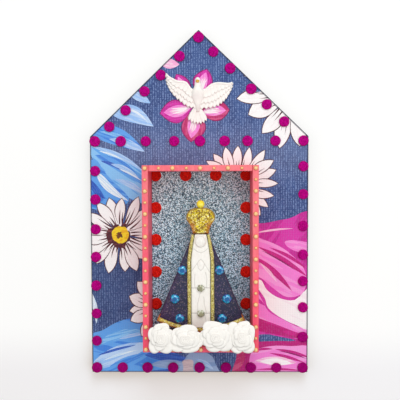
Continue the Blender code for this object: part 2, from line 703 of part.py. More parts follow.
def rose_point(direction, half_width, turn):
    """Place for a point of the ball: spiral petals in front, stem end behind."""
    tilt = math.acos(max(min(-direction.y, 1.0), -1.0))
    angle = math.atan2(direction.z, direction.x)
    across = math.cos(angle)
    up = math.sin(angle)
    if tilt <= math.radians(91):
        reach = min(tilt / (math.pi / 2), 1.0)
        lobes = 0.94 + 0.06 * reach * math.cos(ROSE_PETALS * angle + turn)
        spiral = (reach * ROSE_TURNS + (angle + turn) / (2 * math.pi)) % 1.0
        lift = 0.25 + 0.75 * math.sqrt(max(1.0 - reach * reach, 0.0))
        if reach < 0.99:
            lift *= 0.86 + 0.14 * spiral
        x = half_width * reach * lobes * across
        z = ROSE_HALF_HEIGHT * reach * lobes * up
        return Vector((x, rose_back - ROSE_DEPTH * lift, rose_middle + z))
    past = max((math.degrees(tilt) - 105) / 75, 0.0)
    reach = min(1.0, 2.0 * (1.0 - past))
    x = half_width * ROSE_STEM_SHARE * reach * across
    z = stem_half_height * reach * up
    return Vector((x, rose_back + ROSE_STEM_DEPTH * past, rose_middle + z))


for index, (offset, half_width) in enumerate(ROSE_SHARES):
    rose = bmesh.new()
    half_width *= NICHE_WIDTH
    face_front = Matrix.Rotation(math.pi / 2, 4, "X")
    bmesh.ops.create_uvsphere(
        rose, u_segments=ROSE_SIDES, v_segments=ROSE_RINGS, radius=1.0, matrix=face_front,
    )
    for vertex in rose.verts:
        vertex.co = rose_point(vertex.co.normalized(), half_width, 1.3 * index)
    place = (NICHE_OFFSET + offset * NICHE_WIDTH, 0.0, 0.0)
    add_mesh("rose_%d" % (index + 1), rose, white_petal, place, smooth=True)

# Dove: wings, tail, body, head and beak are one casting.
dove_back = FABRIC_FRONT - GAP
wing_front = dove_back - DOVE_WING_THICKNESS
nudge = GAP / 10


def on_gable(points):
    """Places on the gable for points given in shares of its height."""
    middle = DOVE_OFFSET_SHARE * GABLE_HEIGHT
    height = EAVE_HEIGHT + DOVE_RISE_SHARE * GABLE_HEIGHT
    return [(middle + x * GABLE_HEIGHT, height + z * GABLE_HEIGHT) for x, z in points]


def wing_outline(side, tip, shoulder, root, top_edge):
    """Top edge from the middle to the tip, then scalloped feather ends back to the root."""
    outline = [(0.0, root + 0.038), (0.0, shoulder)]
    for across, up in top_edge:
        outline.append((side * tip[0] * across, shoulder + (tip[1] - shoulder) * up))
    outline.append((side * tip[0], tip[1]))
    for feather in range(DOVE_FEATHERS):
        for share, pull in ((feather + 0.75, 0.0105), (feather + 1.0, 0.0)):
            angle = math.pi / 2 * share / DOVE_FEATHERS
            x = tip[0] * 0.98 * max(math.cos(angle), 0.0) ** 0.75 - pull
            z = root + (tip[1] - 0.038 - root) * (1.0 - math.sin(angle)) - pull * 0.2
            outline.append((side * max(x, 0.0133), z + 0.0086 * math.sin(2 * angle)))
    return outline


left_edge = ((0.17, 0.03), (0.29, 0.20), (0.45, 0.55), (0.66, 0.64), (0.84, 0.74))
left_wing = on_gable(wing_outline(-1.0, DOVE_LEFT_TIP_SHARE, 0.0875, -0.1065, left_edge))
dove = add_outline("dove", left_wing, dove_back, wing_front, white_resin)
right_edge = ((0.16, 0.10), (0.28, 0.38), (0.48, 0.84), (0.75, 0.95))
right_wing = wing_outline(1.0, DOVE_RIGHT_TIP_SHARE, 0.0589, -0.1122, right_edge)
right_wing = on_gable([(x - 0.0057, z) for x, z in right_wing])
boolean(dove, add_outline("dove_right_wing", right_wing, dove_back - nudge, wing_front - GAP, None), "UNION")

tail = [(-0.023, -0.095), (0.032, -0.095)]
fan_limit = math.radians(58)
for i in range(9):
    fan = fan_limit * (1.0 - i / 4)
    reach = DOVE_TAIL_REACH_SHARE if i % 2 == 0 else DOVE_TAIL_REACH_SHARE * 0.97
    across = DOVE_TAIL_SPREAD_SHARE * math.sin(fan) / math.sin(fan_limit)
    tail.append((across, -reach * (0.72 + 0.28 * math.cos(fan))))
boolean(dove, add_outline("dove_tail", on_gable(tail), dove_back - 2 * nudge, wing_front - 2 * GAP, None), "UNION")

# Body: a ball drawn out into breast, neck and crown of the head.
body = bmesh.new()
bmesh.ops.create_uvsphere(body, u_segments=14, v_segments=14, radius=1.0)
for vertex in body.verts:
    rise = vertex.co.z
    swell = 1.0 - 0.56 / (1.0 + math.exp(-14.0 * (rise - 0.52)))
    across = -0.0076 + DOVE_BODY_BREADTH_SHARE * vertex.co.x * swell
    x, z = on_gable([(across, 0.0133 + DOVE_BODY_REACH_SHARE * rise)])[0]
    forward = DOVE_BODY_SEAT + DOVE_BODY_DEPTH * (1.0 - 0.3 * rise ** 2 - vertex.co.y)
    vertex.co = (x, dove_back - forward, z)
boolean(dove, add_mesh("dove_body", body, None), "UNION")
beak = bmesh.new()
beak_x, beak_z = on_gable([(-0.0076, 0.0133 + 0.78 * DOVE_BODY_REACH_SHARE)])[0]
beak_forward = DOVE_BODY_SEAT + 1.93 * DOVE_BODY_DEPTH
beak_turn = Matrix.Rotation(math.radians(102), 4, "X")
beak_place = Matrix.Translation((beak_x, dove_back - beak_forward, beak_z)) @ beak_turn
bmesh.ops.create_cone(
    beak, cap_ends=True, segments=8, radius1=BEAK_RADIUS, radius2=BEAK_TIP_RADIUS,
    depth=BEAK_LENGTH, matrix=beak_place,
)
boolean(dove, add_mesh("dove_beak", beak, None), "UNION")

# Hanger: a strap rolled round the ring's bar, two screws, and the wire ring.
strap_profile = [(HINGE_HEIGHT - STRAP_LENGTH, STRAP_BACK)]
roll_steps = 14
for radius, order in ((EYE_OUTER_RADIUS, range(roll_steps + 1)), (EYE_RADIUS, range(roll_steps, -1, -1))):
    for i in order:
        turn = STRAP_ROLL * i / roll_steps
        strap_profile.append((HINGE_HEIGHT + radius * math.sin(turn), HINGE_DEPTH - radius * math.cos(turn)))
strap_profile.append((HINGE_HEIGHT - STRAP_LENGTH, STRAP_FRONT))
strap_curve = bpy.data.curves.new("hanger_strap", "CURVE")
strap_curve.dimensions = "2D"
strap_curve.fill_mode = "BOTH"
strap_curve.extrude = STRAP_HALF_WIDTH
strap_spline = strap_curve.splines.new("POLY")
strap_spline.points.add(len(strap_profile) - 1)
for point, (z, y) in zip(strap_spline.points, strap_profile):
    point.co = (y, z, 0.0, 1.0)
strap_spline.use_cyclic_u = True
strap = add_object("hanger_strap", strap_curve, hanger_metal)
strap.rotation_euler = (math.pi / 2, 0.0, math.pi / 2)
strap = curve_to_mesh(strap)
screw_profile = (
    (0.0, SCREW_HEAD_HEIGHT),
    (0.6 * SCREW_HEAD_RADIUS, SCREW_HEAD_HEIGHT),
    (SCREW_HEAD_RADIUS, 0.5 * SCREW_HEAD_HEIGHT),
    (SCREW_HEAD_RADIUS, 0.0),
    (SCREW_RADIUS, 0.0),
    (SCREW_RADIUS, 2 * SCREW_RADIUS - SCREW_LENGTH),
    (0.0, -SCREW_LENGTH),
)
for index, drop in enumerate(SCREW_DROPS):
    hole = bmesh.new()
    height = HINGE_HEIGHT - drop
    build_disc(hole, 0.0, height, SCREW_RADIUS + GAP, STRAP_FRONT + GAP, STRAP_BACK - GAP / 2, 10)
    boolean(strap, add_mesh("strap_hole_%d" % (index + 1), hole, None), "DIFFERENCE")
    screw_name = "hanger_screw_%d" % (index + 1)
    add_turned(screw_name, screw_profile, 12, hanger_metal, (0.0, screw_seat, height), -math.pi / 2)

ring_curve = bpy.data.curves.new("hanger_ring", "CURVE")
ring_curve.dimensions = "3D"
ring_curve.bevel_depth = WIRE_RADIUS
ring_curve.bevel_resolution = 2
ring_path = []
for side, first_turn in ((-1.0, 180), (1.0, 270)):
    for i in range(5):
        turn = math.radians(first_turn + 90 * i / 4)
        x = side * (RING_HALF_WIDTH - RING_CORNER) + RING_CORNER * math.cos(turn)
        ring_path.append((x, RING_CORNER + RING_CORNER * math.sin(turn)))
for i in range(13):
    turn = math.pi * i / 12
    ring_path.append((RING_HALF_WIDTH * math.cos(turn), RING_LENGTH - RING_HALF_WIDTH * (1.0 - math.sin(turn))))
ring_spline = ring_curve.splines.new("POLY")
ring_spline.points.add(len(ring_path) - 1)
for point, (x, z) in zip(ring_spline.points, ring_path):
    point.co = (x, 0.0, z, 1.0)
ring_spline.use_cyclic_u = True
add_object("hanger_ring", ring_curve, hanger_metal, (0.0, HINGE_DEPTH, HINGE_HEIGHT))
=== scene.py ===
"""Finish of the wall shrine: printed cloth, felt, paint, glitter, stones, roses, dove and studio.

Metres, Z up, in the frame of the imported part. The front faces -Y and the wall is at +Y.
The drawings of the print, the figure, the roses and the dove are in millimetres.
"""
import math
import random

import bmesh
import bpy
from mathutils import Matrix, Vector, noise
from mathutils.geometry import delaunay_2d_cdt


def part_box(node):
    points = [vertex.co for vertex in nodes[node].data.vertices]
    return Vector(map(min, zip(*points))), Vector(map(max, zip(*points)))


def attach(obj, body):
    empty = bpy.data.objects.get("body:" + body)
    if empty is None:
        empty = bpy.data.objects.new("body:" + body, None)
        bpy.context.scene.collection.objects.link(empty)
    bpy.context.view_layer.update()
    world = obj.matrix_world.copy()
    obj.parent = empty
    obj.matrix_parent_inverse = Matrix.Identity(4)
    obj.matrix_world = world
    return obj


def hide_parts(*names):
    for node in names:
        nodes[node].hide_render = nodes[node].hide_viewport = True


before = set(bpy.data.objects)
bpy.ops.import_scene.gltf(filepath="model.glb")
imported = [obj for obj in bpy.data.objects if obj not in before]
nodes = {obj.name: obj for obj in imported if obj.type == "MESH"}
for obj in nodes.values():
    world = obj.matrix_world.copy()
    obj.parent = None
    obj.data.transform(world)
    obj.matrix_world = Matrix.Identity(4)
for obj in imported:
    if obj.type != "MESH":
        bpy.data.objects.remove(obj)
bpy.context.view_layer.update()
scene = bpy.context.scene
MM = 0.001
MERGE_DISTANCE = 1e-7

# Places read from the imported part.
BOARD_LOW, BOARD_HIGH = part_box("back_board")
BOARD_FRONT = BOARD_LOW[1]
LOWER_EDGE = BOARD_LOW[2]
HALF_BOARD = BOARD_HIGH[0]
APEX = BOARD_HIGH[2]
FABRIC_LOW, FABRIC_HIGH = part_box("fabric_cover")
FABRIC_FRONT = FABRIC_LOW[1]
FABRIC_BACK = FABRIC_HIGH[1]
LEFT_WALL_LOW, LEFT_WALL_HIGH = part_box("niche_left_wall")
RIGHT_WALL_LOW, RIGHT_WALL_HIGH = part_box("niche_right_wall")
NICHE_LEFT, NICHE_FRONT, NICHE_BOTTOM = LEFT_WALL_LOW
NICHE_RIGHT = RIGHT_WALL_HIGH[0]
NICHE_MIDDLE = (NICHE_LEFT + NICHE_RIGHT) / 2
NICHE_TOP = LEFT_WALL_HIGH[2]
NICHE_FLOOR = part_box("niche_bottom_wall")[1][2]
NICHE_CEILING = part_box("niche_top_wall")[0][2]
INNER_LEFT = LEFT_WALL_HIGH[0]
INNER_RIGHT = RIGHT_WALL_LOW[0]
WALL_THICKNESS = INNER_LEFT - NICHE_LEFT
GLITTER_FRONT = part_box("glitter_backing")[0][1]
ROBE_LOW, ROBE_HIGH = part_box("robe_upper")
ROBE_FRONT = ROBE_LOW[1]
ROBE_BACK = ROBE_HIGH[1]
CROWN_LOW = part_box("crown")[0]
CROWN_FRONT = CROWN_LOW[1]
CROWN_FOOT = CROWN_LOW[2]
DOVE_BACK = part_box("dove")[1][1]

# Sizes that the drawings share with the part.
GAP = 0.0003
EAVE_HEIGHT = 0.238
GABLE_HEIGHT = 0.1052
FABRIC_MARGIN = 0.0008
DOT_RADIUS = 0.0052
DOT_THICKNESS = 0.0018
DOT_INSET = 0.0052
EAVE_DOT_DROP = 0.0046
APEX_DOT_DROP = 0.0073
RED_DOT_RADIUS = 0.0057
RED_DOT_INSET = 0.0040
RED_DOT_PITCH = 0.0320
PEARL_RADIUS = 0.0022
SMALL_PEARL_RADIUS = 0.0016
PEARL_RISE = 0.9


def ink(red, green, blue):
    """Scene-linear colour from the eight-bit values of a swatch."""
    linear = []
    for value in (red, green, blue):
        share = value / 255
        linear.append(share / 12.92 if share <= 0.04045 else ((share + 0.055) / 1.055) ** 2.4)
    return (*linear, 1.0)


# Mesh helpers.
def add_object(name, data):
    thing = bpy.data.objects.new(name, data)
    scene.collection.objects.link(thing)
    return thing


def add_piece(name, builder, finish=None, smooth=True):
    """Object at the origin from a mesh builder, with its finish."""
    mesh = bpy.data.meshes.new(name)
    builder.to_mesh(mesh)
    builder.free()
    if finish:
        mesh.materials.append(finish)
    for polygon in mesh.polygons:
        polygon.use_smooth = smooth
    return add_object(name, mesh)


def fit(piece, slot_name, *replaced):
    """Hang a finished piece on the shrine and let it stand for its solids."""
    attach(piece, "shrine")
    if replaced:
        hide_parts(*replaced)


def turns(count, offset=0.0):
    """Angles spaced evenly round a circle."""
    return [2 * math.pi * (i + offset) / count for i in range(count)]


def bridge(builder, first, second):
    """Quads between two closed rings of vertices."""
    count = len(first)
    for i in range(count):
        j = (i + 1) % count
        builder.faces.new((first[i], first[j], second[j], second[i]))


def add_grid(builder, rows):
    """Quads over rows of points, as a list of vertex rows."""
    lines = [[builder.verts.new(point) for point in row] for row in rows]
    for upper, lower in zip(lines, lines[1:]):
        for a, b, c, d in zip(upper, upper[1:], lower[1:], lower):
            builder.faces.new((a, d, c, b))
    return lines


def rim_of(lines):
    """Vertices round the edge of a grid, in order."""
    right = [line[-1] for line in lines[1:-1]]
    left = [line[0] for line in lines[-2:0:-1]]
    return lines[0] + right + lines[-1][::-1] + left


def add_slab(builder, columns, rows, shape, layer=None):
    """Closed thin body; shape(i, j) gives its front point, back point and mark at each grid step."""
    grid = [[shape(i, j) for i in range(columns + 1)] for j in range(rows + 1)]
    front = add_grid(builder, [[step[0] for step in row] for row in grid])
    back = add_grid(builder, [[step[1] for step in row[::-1]] for row in grid])
    bridge(builder, rim_of(front), rim_of([line[::-1] for line in back]))
    if layer is not None:
        for line, row in zip(front, grid):
            for vertex, step in zip(line, row):
                vertex[layer] = step[2]


def add_rings(builder, rings, tip=None):
    """Closed body through rings of points, ended flat or in a tip; gives back the rings of vertices."""
    loops = [[builder.verts.new(point) for point in ring] for ring in rings]
    for first, second in zip(loops, loops[1:]):
        bridge(builder, first, second)
    last = loops[-1]
    builder.faces.new(loops[0][::-1])
    if tip is None:
        builder.faces.new(last)
    else:
        end = builder.verts.new(tip)
        for i, vertex in enumerate(last):
            builder.faces.new((vertex, last[(i + 1) % len(last)], end))
    return loops


def face_outwards(builder, merge=True):
    if merge:
        bmesh.ops.remove_doubles(builder, verts=builder.verts, dist=MERGE_DISTANCE)
    bmesh.ops.recalc_face_normals(builder, faces=builder.faces)


def cut_facets(builder):
    """Two triangles for every four-sided face, as on a cut stone."""
    bmesh.ops.triangulate(builder, faces=[face for face in builder.faces if len(face.verts) == 4])


def on_curve(points, share):
    """Point at a share of the way along a chain of points, smoothly bent."""
    place = share * (len(points) - 1)
    i = min(int(place), len(points) - 2)
    t = place - i
    p0 = Vector(points[max(i - 1, 0)])
    p1 = Vector(points[i])
    p2 = Vector(points[i + 1])
    p3 = Vector(points[min(i + 2, len(points) - 1)])
    bend = (p2 - p0) * t + (2 * p0 - 5 * p1 + 4 * p2 - p3) * t * t
    return p1 + 0.5 * (bend + (3 * p1 - p0 - 3 * p2 + p3) * t ** 3)


def bell(offset, width):
    """Smooth hump: 1 where the offset is 0, falling off over the width."""
    return math.exp(-(offset / width) ** 2)


# Node helpers.
def add_socket(tree, label, kind, way="INPUT"):
    return tree.interface.new_socket(name=label, in_out=way, socket_type="NodeSocket" + kind)


class Wiring:
    """Shorthand for wiring the nodes of one tree."""

    def __init__(self, tree):
        self.tree = tree

    def fill(self, sockets, values):
        """Set or link sockets; an underscore in a name stands for a space."""
        for key, value in values.items():
            socket = sockets[key.replace("_", " ") if isinstance(key, str) else key]
            if isinstance(value, bpy.types.NodeSocket):
                self.tree.links.new(value, socket)
            else:
                socket.default_value = value

    def node(self, kind, inputs=None, **settings):
        """New node; a kind without its family's name is a shader node."""
        node = self.tree.nodes.new(kind if "Node" in kind else "ShaderNode" + kind)
        for key, value in settings.items():
            setattr(node, key, value)
        self.fill(node.inputs, inputs or {})
        return node

    def math(self, operation, a, b=0.0):
        return self.node("Math", {0: a, 1: b}, operation=operation).outputs[0]

    def plus(self, a, b):
        return self.math("ADD", a, b)

    def minus(self, a, b):
        return self.math("SUBTRACT", a, b)

    def times(self, a, b):
        return self.math("MULTIPLY", a, b)

    def blend(self, a, a_share, b, b_share):
        """Weighted sum of two values."""
        return self.plus(self.times(a, a_share), self.times(b, b_share))

    def span(self, value, low, high, to_low=0.0, to_high=1.0):
        """Smooth change from one value to another over a span."""
        inputs = {"Value": value, "From Min": low, "From Max": high, "To Min": to_low, "To Max": to_high}
        return self.node("MapRange", inputs, interpolation_type="SMOOTHSTEP").outputs[0]

    def mix(self, share, a, b, blend="MIX"):
        node = self.node("Mix", {0: share, 6: a, 7: b}, data_type="RGBA", blend_type=blend)
        return node.outputs[2]

    def ramp(self, value, stops):
        node = self.node("ValToRGB", {0: value})
        elements = node.color_ramp.elements
        while len(elements) < len(stops):
            elements.new(0.5)
        for element, (place, colour) in zip(elements, stops):
            element.position = place
            element.color = colour
        return node.outputs[0]

    def place(self, scale=(1.0, 1.0, 1.0), turn=(0.0, 0.0, 0.0)):
        """Object coordinates, stretched and turned."""
        coordinates = self.node("TexCoord").outputs["Object"]
        inputs = {"Vector": coordinates, "Rotation": turn, "Scale": scale}
        return self.node("Mapping", inputs).outputs[0]

    def axes(self, vector):
        return self.node("SeparateXYZ", {0: vector}).outputs

    def vector(self, operation, inputs):
        return self.node("VectorMath", inputs, operation=operation).outputs[0]

    def noise(self, vector, scale, detail=3.0, roughness=0.55):
        inputs = {"Vector": vector, "Scale": scale, "Detail": detail, "Roughness": roughness}
        return self.node("TexNoise", inputs).outputs[0]

    def attribute(self, name, output="Color"):
        return self.node("Attribute", attribute_name=name).outputs[output]

    def group(self, tree, **inputs):
        return self.node("Group", inputs, node_tree=tree).outputs

    def bump(self, height, strength, distance):
        inputs = {"Height": height, "Strength": strength, "Distance": distance}
        return self.node("Bump", inputs).outputs[0]


class Finish(Wiring):
    """Wiring of a new material."""

    def __init__(self, name):
        self.material = bpy.data.materials.new(name)
        self.material.use_nodes = True
        super().__init__(self.material.node_tree)
        self.surface = self.tree.nodes["Principled BSDF"]

    def wear(self, **sockets):
        """Set or link the surface shader's sockets; gives the material."""
        self.fill(self.surface.inputs, sockets)
        return self.material


class Effect(Wiring):
    """Wiring of a shader group that takes a place and its own sizes."""

    def __init__(self, name, **sizes):
        super().__init__(bpy.data.node_groups.new(name, "ShaderNodeTree"))
        add_socket(self.tree, "Vector", "Vector")
        for label, size in sizes.items():
            add_socket(self.tree, label, "Float").default_value = size
        self.source = self.node("NodeGroupInput").outputs
        self.spot = self.source["Vector"]

    def give(self, **results):
        """Link what the group puts out; gives the group."""
        for label, value in results.items():
            add_socket(self.tree, label, "Vector" if value.type == "VECTOR" else "Float", "OUTPUT")
        self.node("NodeGroupOutput", results)
        return self.tree


# Shared effects.
def make_brushed_paint():
    """Strokes of a flat brush: streaky shade, fine ridges and thin worn spots."""
    wiring = Effect("brushed_paint", Stroke=500.0)
    streaks = wiring.noise(wiring.spot, wiring.source["Stroke"], 4.0, 0.6)
    clouds = wiring.noise(wiring.spot, 45.0, 2.0)
    fine = wiring.noise(wiring.spot, 1400.0, 2.0)
    patches = wiring.noise(wiring.spot, 160.0, 5.0, 0.7)
    return wiring.give(
        Shade=wiring.span(wiring.blend(streaks, 0.6, clouds, 0.4), 0.3, 0.7),
        Height=wiring.plus(streaks, wiring.times(fine, 0.35)),
        Thin=wiring.span(patches, 0.60, 0.72),
    )


def make_glitter_flakes():
    """Flakes that each have their own brightness, tint and tilt."""
    wiring = Effect("glitter_flakes", Flakes=1000.0, Tilt=0.5)
    flakes = wiring.node("TexVoronoi", {"Vector": wiring.spot, "Scale": wiring.source["Flakes"]})
    cells = flakes.outputs["Color"]
    parts = wiring.node("SeparateColor", {0: cells}).outputs
    middle = wiring.vector("SUBTRACT", {0: cells, 1: (0.5, 0.5, 0.5)})
    lean = wiring.vector("SCALE", {0: middle, "Scale": wiring.source["Tilt"]})
    normal = wiring.node("NewGeometry").outputs["Normal"]
    turned = wiring.vector("ADD", {0: normal, 1: lean})
    tilted = wiring.vector("NORMALIZE", {0: turned})
    return wiring.give(Spark=parts[0], Tint=parts[1], Normal=tilted)


def make_felt_fibres():
    """Matted fibres: short light hairs over darker hollows."""
    wiring = Effect("felt_fibres", Fibres=900.0)
    warp = wiring.node("TexNoise", {"Vector": wiring.spot, "Scale": 700.0}).outputs["Color"]
    pulled = wiring.vector("SCALE", {0: warp, "Scale": 0.0022})
    bent = wiring.vector("ADD", {0: wiring.spot, 1: pulled})
    hairs = wiring.noise(bent, wiring.source["Fibres"], 4.0, 0.7)
    mats = wiring.noise(wiring.spot, 420.0, 2.0)
    return wiring.give(Shade=wiring.span(wiring.blend(hairs, 0.7, mats, 0.3), 0.33, 0.66), Height=hairs)


def make_wood_grain():
    """Straight grain with darker pores, running up the board."""
    wiring = Effect("wood_grain")
    drawn_out = wiring.node("Mapping", {"Vector": wiring.spot, "Scale": (1.0, 1.0, 0.04)}).outputs[0]
    bands = wiring.noise(drawn_out, 110.0, 3.0, 0.6)
    streaks = wiring.noise(drawn_out, 900.0, 4.0, 0.65)
    pores = wiring.span(wiring.noise(drawn_out, 2400.0, 2.0), 0.60, 0.74)
    return wiring.give(
        Shade=wiring.span(wiring.blend(bands, 0.55, streaks, 0.45), 0.30, 0.70),
        Pores=pores,
        Height=wiring.minus(streaks, pores),
    )


def make_house_edge():
    """Distance of a point from the outline of the house-shaped board."""
    wiring = Effect("house_edge")
    across, _, height = wiring.axes(wiring.spot)
    side = wiring.math("ABSOLUTE", across)
    slope = math.hypot(HALF_BOARD, GABLE_HEIGHT)
    from_side = wiring.minus(HALF_BOARD, side)
    from_base = wiring.minus(height, LOWER_EDGE)
    below_apex = wiring.times(wiring.minus(APEX, height), HALF_BOARD / slope)
    from_roof = wiring.minus(below_apex, wiring.times(side, GABLE_HEIGHT / slope))
    nearest = wiring.math("MINIMUM", wiring.math("MINIMUM", from_side, from_base), from_roof)
    return wiring.give(Distance=nearest)


brushed_paint = make_brushed_paint()
glitter_flakes = make_glitter_flakes()
felt_fibres = make_felt_fibres()
wood_grain = make_wood_grain()
house_edge = make_house_edge()


# Finishes: first the places, in metres, where they change.
RIM_RAGGEDNESS = 0.005
RIM_REACH = (0.0046, 0.0054)
WARP_PITCH = 0.0024
WEFT_PITCH = 0.0018
CLOTH_EDGE = (0.0008, 0.0020)
# Painted shade low on the cloth's left, and a band of painted light over the niche.
SHADED_ACROSS = (-0.065, -0.030)
SHADED_MIDDLE = LOWER_EDGE + 0.09
SHADED_REACH = (0.03, 0.06)
LIGHT_BAND_START = (LOWER_EDGE + 0.180, LOWER_EDGE + 0.220)
LIGHT_BAND_END = (LOWER_EDGE + 0.225, LOWER_EDGE + 0.265)
FELT_SHADE_HEIGHTS = (LOWER_EDGE, LOWER_EDGE + 0.09)
BRONZE_HEIGHT = (CROWN_FOOT + 0.005, CROWN_FOOT + 0.016)
BRONZE_ASIDE = (0.003, 0.008)
MANTLE_EDGE = (NICHE_MIDDLE - 0.040, NICHE_MIDDLE - 0.018)
EDGE_RAGGEDNESS = 0.003
HEM_TOP = (NICHE_FLOOR + 0.0265, NICHE_FLOOR + 0.0285)
NECK_TOP = (NICHE_FLOOR + 0.1055, NICHE_FLOOR + 0.1070)
CROWN_MIDDLE = (NICHE_FLOOR + 0.1155, NICHE_FLOOR + 0.1180)

# Swatches that more than one finish uses, and the golds of the glitter from painted shade to painted glint.
DEEP_BLUE = ink(30, 34, 70)
EDGE_GOLDS = (ink(186, 92, 22), ink(224, 146, 44))
GOLD_STEPS = (
    (0.0, ink(130, 116, 36)), (0.35, ink(194, 182, 84)),
    (0.65, ink(228, 216, 120)), (1.0, ink(255, 253, 204)),
)
CROWN_STEPS = (
    (0.0, ink(110, 74, 0)), (0.3, ink(204, 174, 8)), (0.65, ink(254, 238, 56)), (1.0, ink(255, 255, 214)),
)
HEM_STEPS = (
    (0.0, ink(200, 154, 8)), (0.3, ink(252, 224, 36)), (0.6, ink(255, 247, 120)), (1.0, ink(255, 255, 230)),
)


def make_board_finish():
    """Raw wood behind, dark blue paint round the edges that strays over the back's rim."""
    wiring = Finish("board_wood_finish")
    spot = wiring.place()
    grain = wiring.group(wood_grain, Vector=spot)
    woods = ((0.0, ink(170, 128, 84)), (0.55, ink(205, 166, 118)), (1.0, ink(226, 194, 148)))
    raw = wiring.ramp(grain["Shade"], woods)
    raw = wiring.mix(wiring.times(grain["Pores"], 0.5), raw, ink(120, 84, 52))
    strokes = wiring.group(brushed_paint, Vector=spot, Stroke=420.0)
    paint = wiring.mix(strokes["Shade"], ink(26, 27, 46), ink(44, 46, 72))
    distance = wiring.group(house_edge, Vector=spot)["Distance"]
    ragged = wiring.plus(distance, wiring.times(wiring.noise(spot, 220.0, 4.0), RIM_RAGGEDNESS))
    rim = wiring.span(ragged, *RIM_REACH, 1.0, 0.0)
    front = wiring.math("LESS_THAN", wiring.axes(spot)[1], BOARD_FRONT * 0.9)
    painted = wiring.math("MAXIMUM", rim, front)
    return wiring.wear(
        Base_Color=wiring.mix(painted, raw, paint), Roughness=wiring.span(painted, 0.0, 1.0, 0.82, 0.55),
        Normal=wiring.bump(wiring.plus(grain["Height"], strokes["Height"]), 0.35, 0.0003),
    )


def make_panel_finish():
    """Thin plywood of the niche's back and the figure's foot."""
    wiring = Finish("panel_wood_finish")
    spot = wiring.place(turn=(0.0, math.pi / 2, 0.0))
    grain = wiring.group(wood_grain, Vector=spot)
    wood = wiring.mix(grain["Shade"], ink(178, 134, 88), ink(222, 186, 138))
    return wiring.wear(
        Base_Color=wiring.mix(grain["Pores"], wood, ink(128, 90, 56)),
        Roughness=0.75, Normal=wiring.bump(grain["Height"], 0.4, 0.0003),
    )


def make_cloth_finish():
    """Printed cotton: inks from the print's own colours, brush streaks along each petal, weave."""
    wiring = Finish("printed_cloth")
    length, breadth, seed = wiring.axes(wiring.attribute("stroke", "Vector"))
    stretched = {0: wiring.times(length, 1.1), 1: wiring.times(breadth, 2.6), 2: seed}
    streaks = wiring.noise(wiring.node("CombineXYZ", stretched).outputs[0], 1.5, 2.0, 0.5)
    base = wiring.node("Attribute", attribute_name="print_base").outputs
    streak = wiring.node("Attribute", attribute_name="print_streak").outputs
    low = wiring.minus(0.78, wiring.times(streak["Alpha"], 0.55))
    mask = wiring.span(wiring.minus(streaks, low), -0.012, 0.012)
    printed = wiring.mix(mask, base["Color"], streak["Color"])
    # Slubs: short light dashes in upright columns, strongest on the bare ground.
    spot = wiring.place()
    across, _, height = wiring.axes(spot)
    column = wiring.math("SINE", wiring.times(across, 2 * math.pi / WARP_PITCH))
    rows = wiring.math("SINE", wiring.times(height, 2 * math.pi / WEFT_PITCH))
    dashes = wiring.noise(wiring.place((1.0, 1.0, 0.6)), 900.0, 3.0, 0.6)
    lines = wiring.span(column, -0.6, 0.7, 0.12, 1.0)
    beat = wiring.plus(dashes, wiring.times(rows, 0.05))
    slub = wiring.times(lines, wiring.span(beat, 0.42, 0.60))
    printed = wiring.mix(wiring.times(slub, base["Alpha"]), printed, ink(138, 162, 211))
    dull = wiring.times(wiring.noise(spot, 60.0, 3.0), 0.10)
    printed = wiring.mix(dull, printed, DEEP_BLUE)
    # Painted shade darkens the cloth low on the left, and a painted lighter band lies over the niche.
    from_middle = wiring.math("ABSOLUTE", wiring.minus(height, SHADED_MIDDLE))
    left = wiring.span(across, *SHADED_ACROSS, 0.42, 0.0)
    low_left = wiring.times(left, wiring.span(from_middle, *SHADED_REACH, 1.0, 0.0))
    printed = wiring.mix(wiring.times(low_left, base["Alpha"]), printed, DEEP_BLUE)
    above_niche = wiring.span(height, *LIGHT_BAND_START, 0.0, 0.10)
    light_band = wiring.times(above_niche, wiring.span(height, *LIGHT_BAND_END, 1.0, 0.0))
    printed = wiring.mix(wiring.times(light_band, base["Alpha"]), printed, ink(214, 218, 234))
    distance = wiring.group(house_edge, Vector=spot)["Distance"]
    printed = wiring.mix(wiring.span(distance, *CLOTH_EDGE, 0.7, 0.0), printed, ink(34, 34, 56))
    threads = wiring.blend(column, 0.5, rows, 0.5)
    weave = wiring.plus(threads, wiring.noise(spot, 1800.0, 2.0))
    return wiring.wear(Base_Color=printed, Roughness=0.92, Normal=wiring.bump(weave, 0.35, 0.00025))


def make_felt(name, dark, light):
    """Punched felt, with painted shade low on the board."""
    wiring = Finish(name)
    spot = wiring.place()
    fibres = wiring.group(felt_fibres, Vector=spot, Fibres=820.0)
    felt = wiring.mix(fibres["Shade"], dark, light)
    # Painted shade: the felt darkens towards the board's lower edge.
    low = wiring.span(wiring.axes(spot)[2], *FELT_SHADE_HEIGHTS, 0.55, 0.0)
    return wiring.wear(
        Base_Color=wiring.mix(low, felt, dark), Roughness=0.95, Specular_IOR_Level=0.1,
        Normal=wiring.bump(fibres["Height"], 0.9, 0.0007),
    )


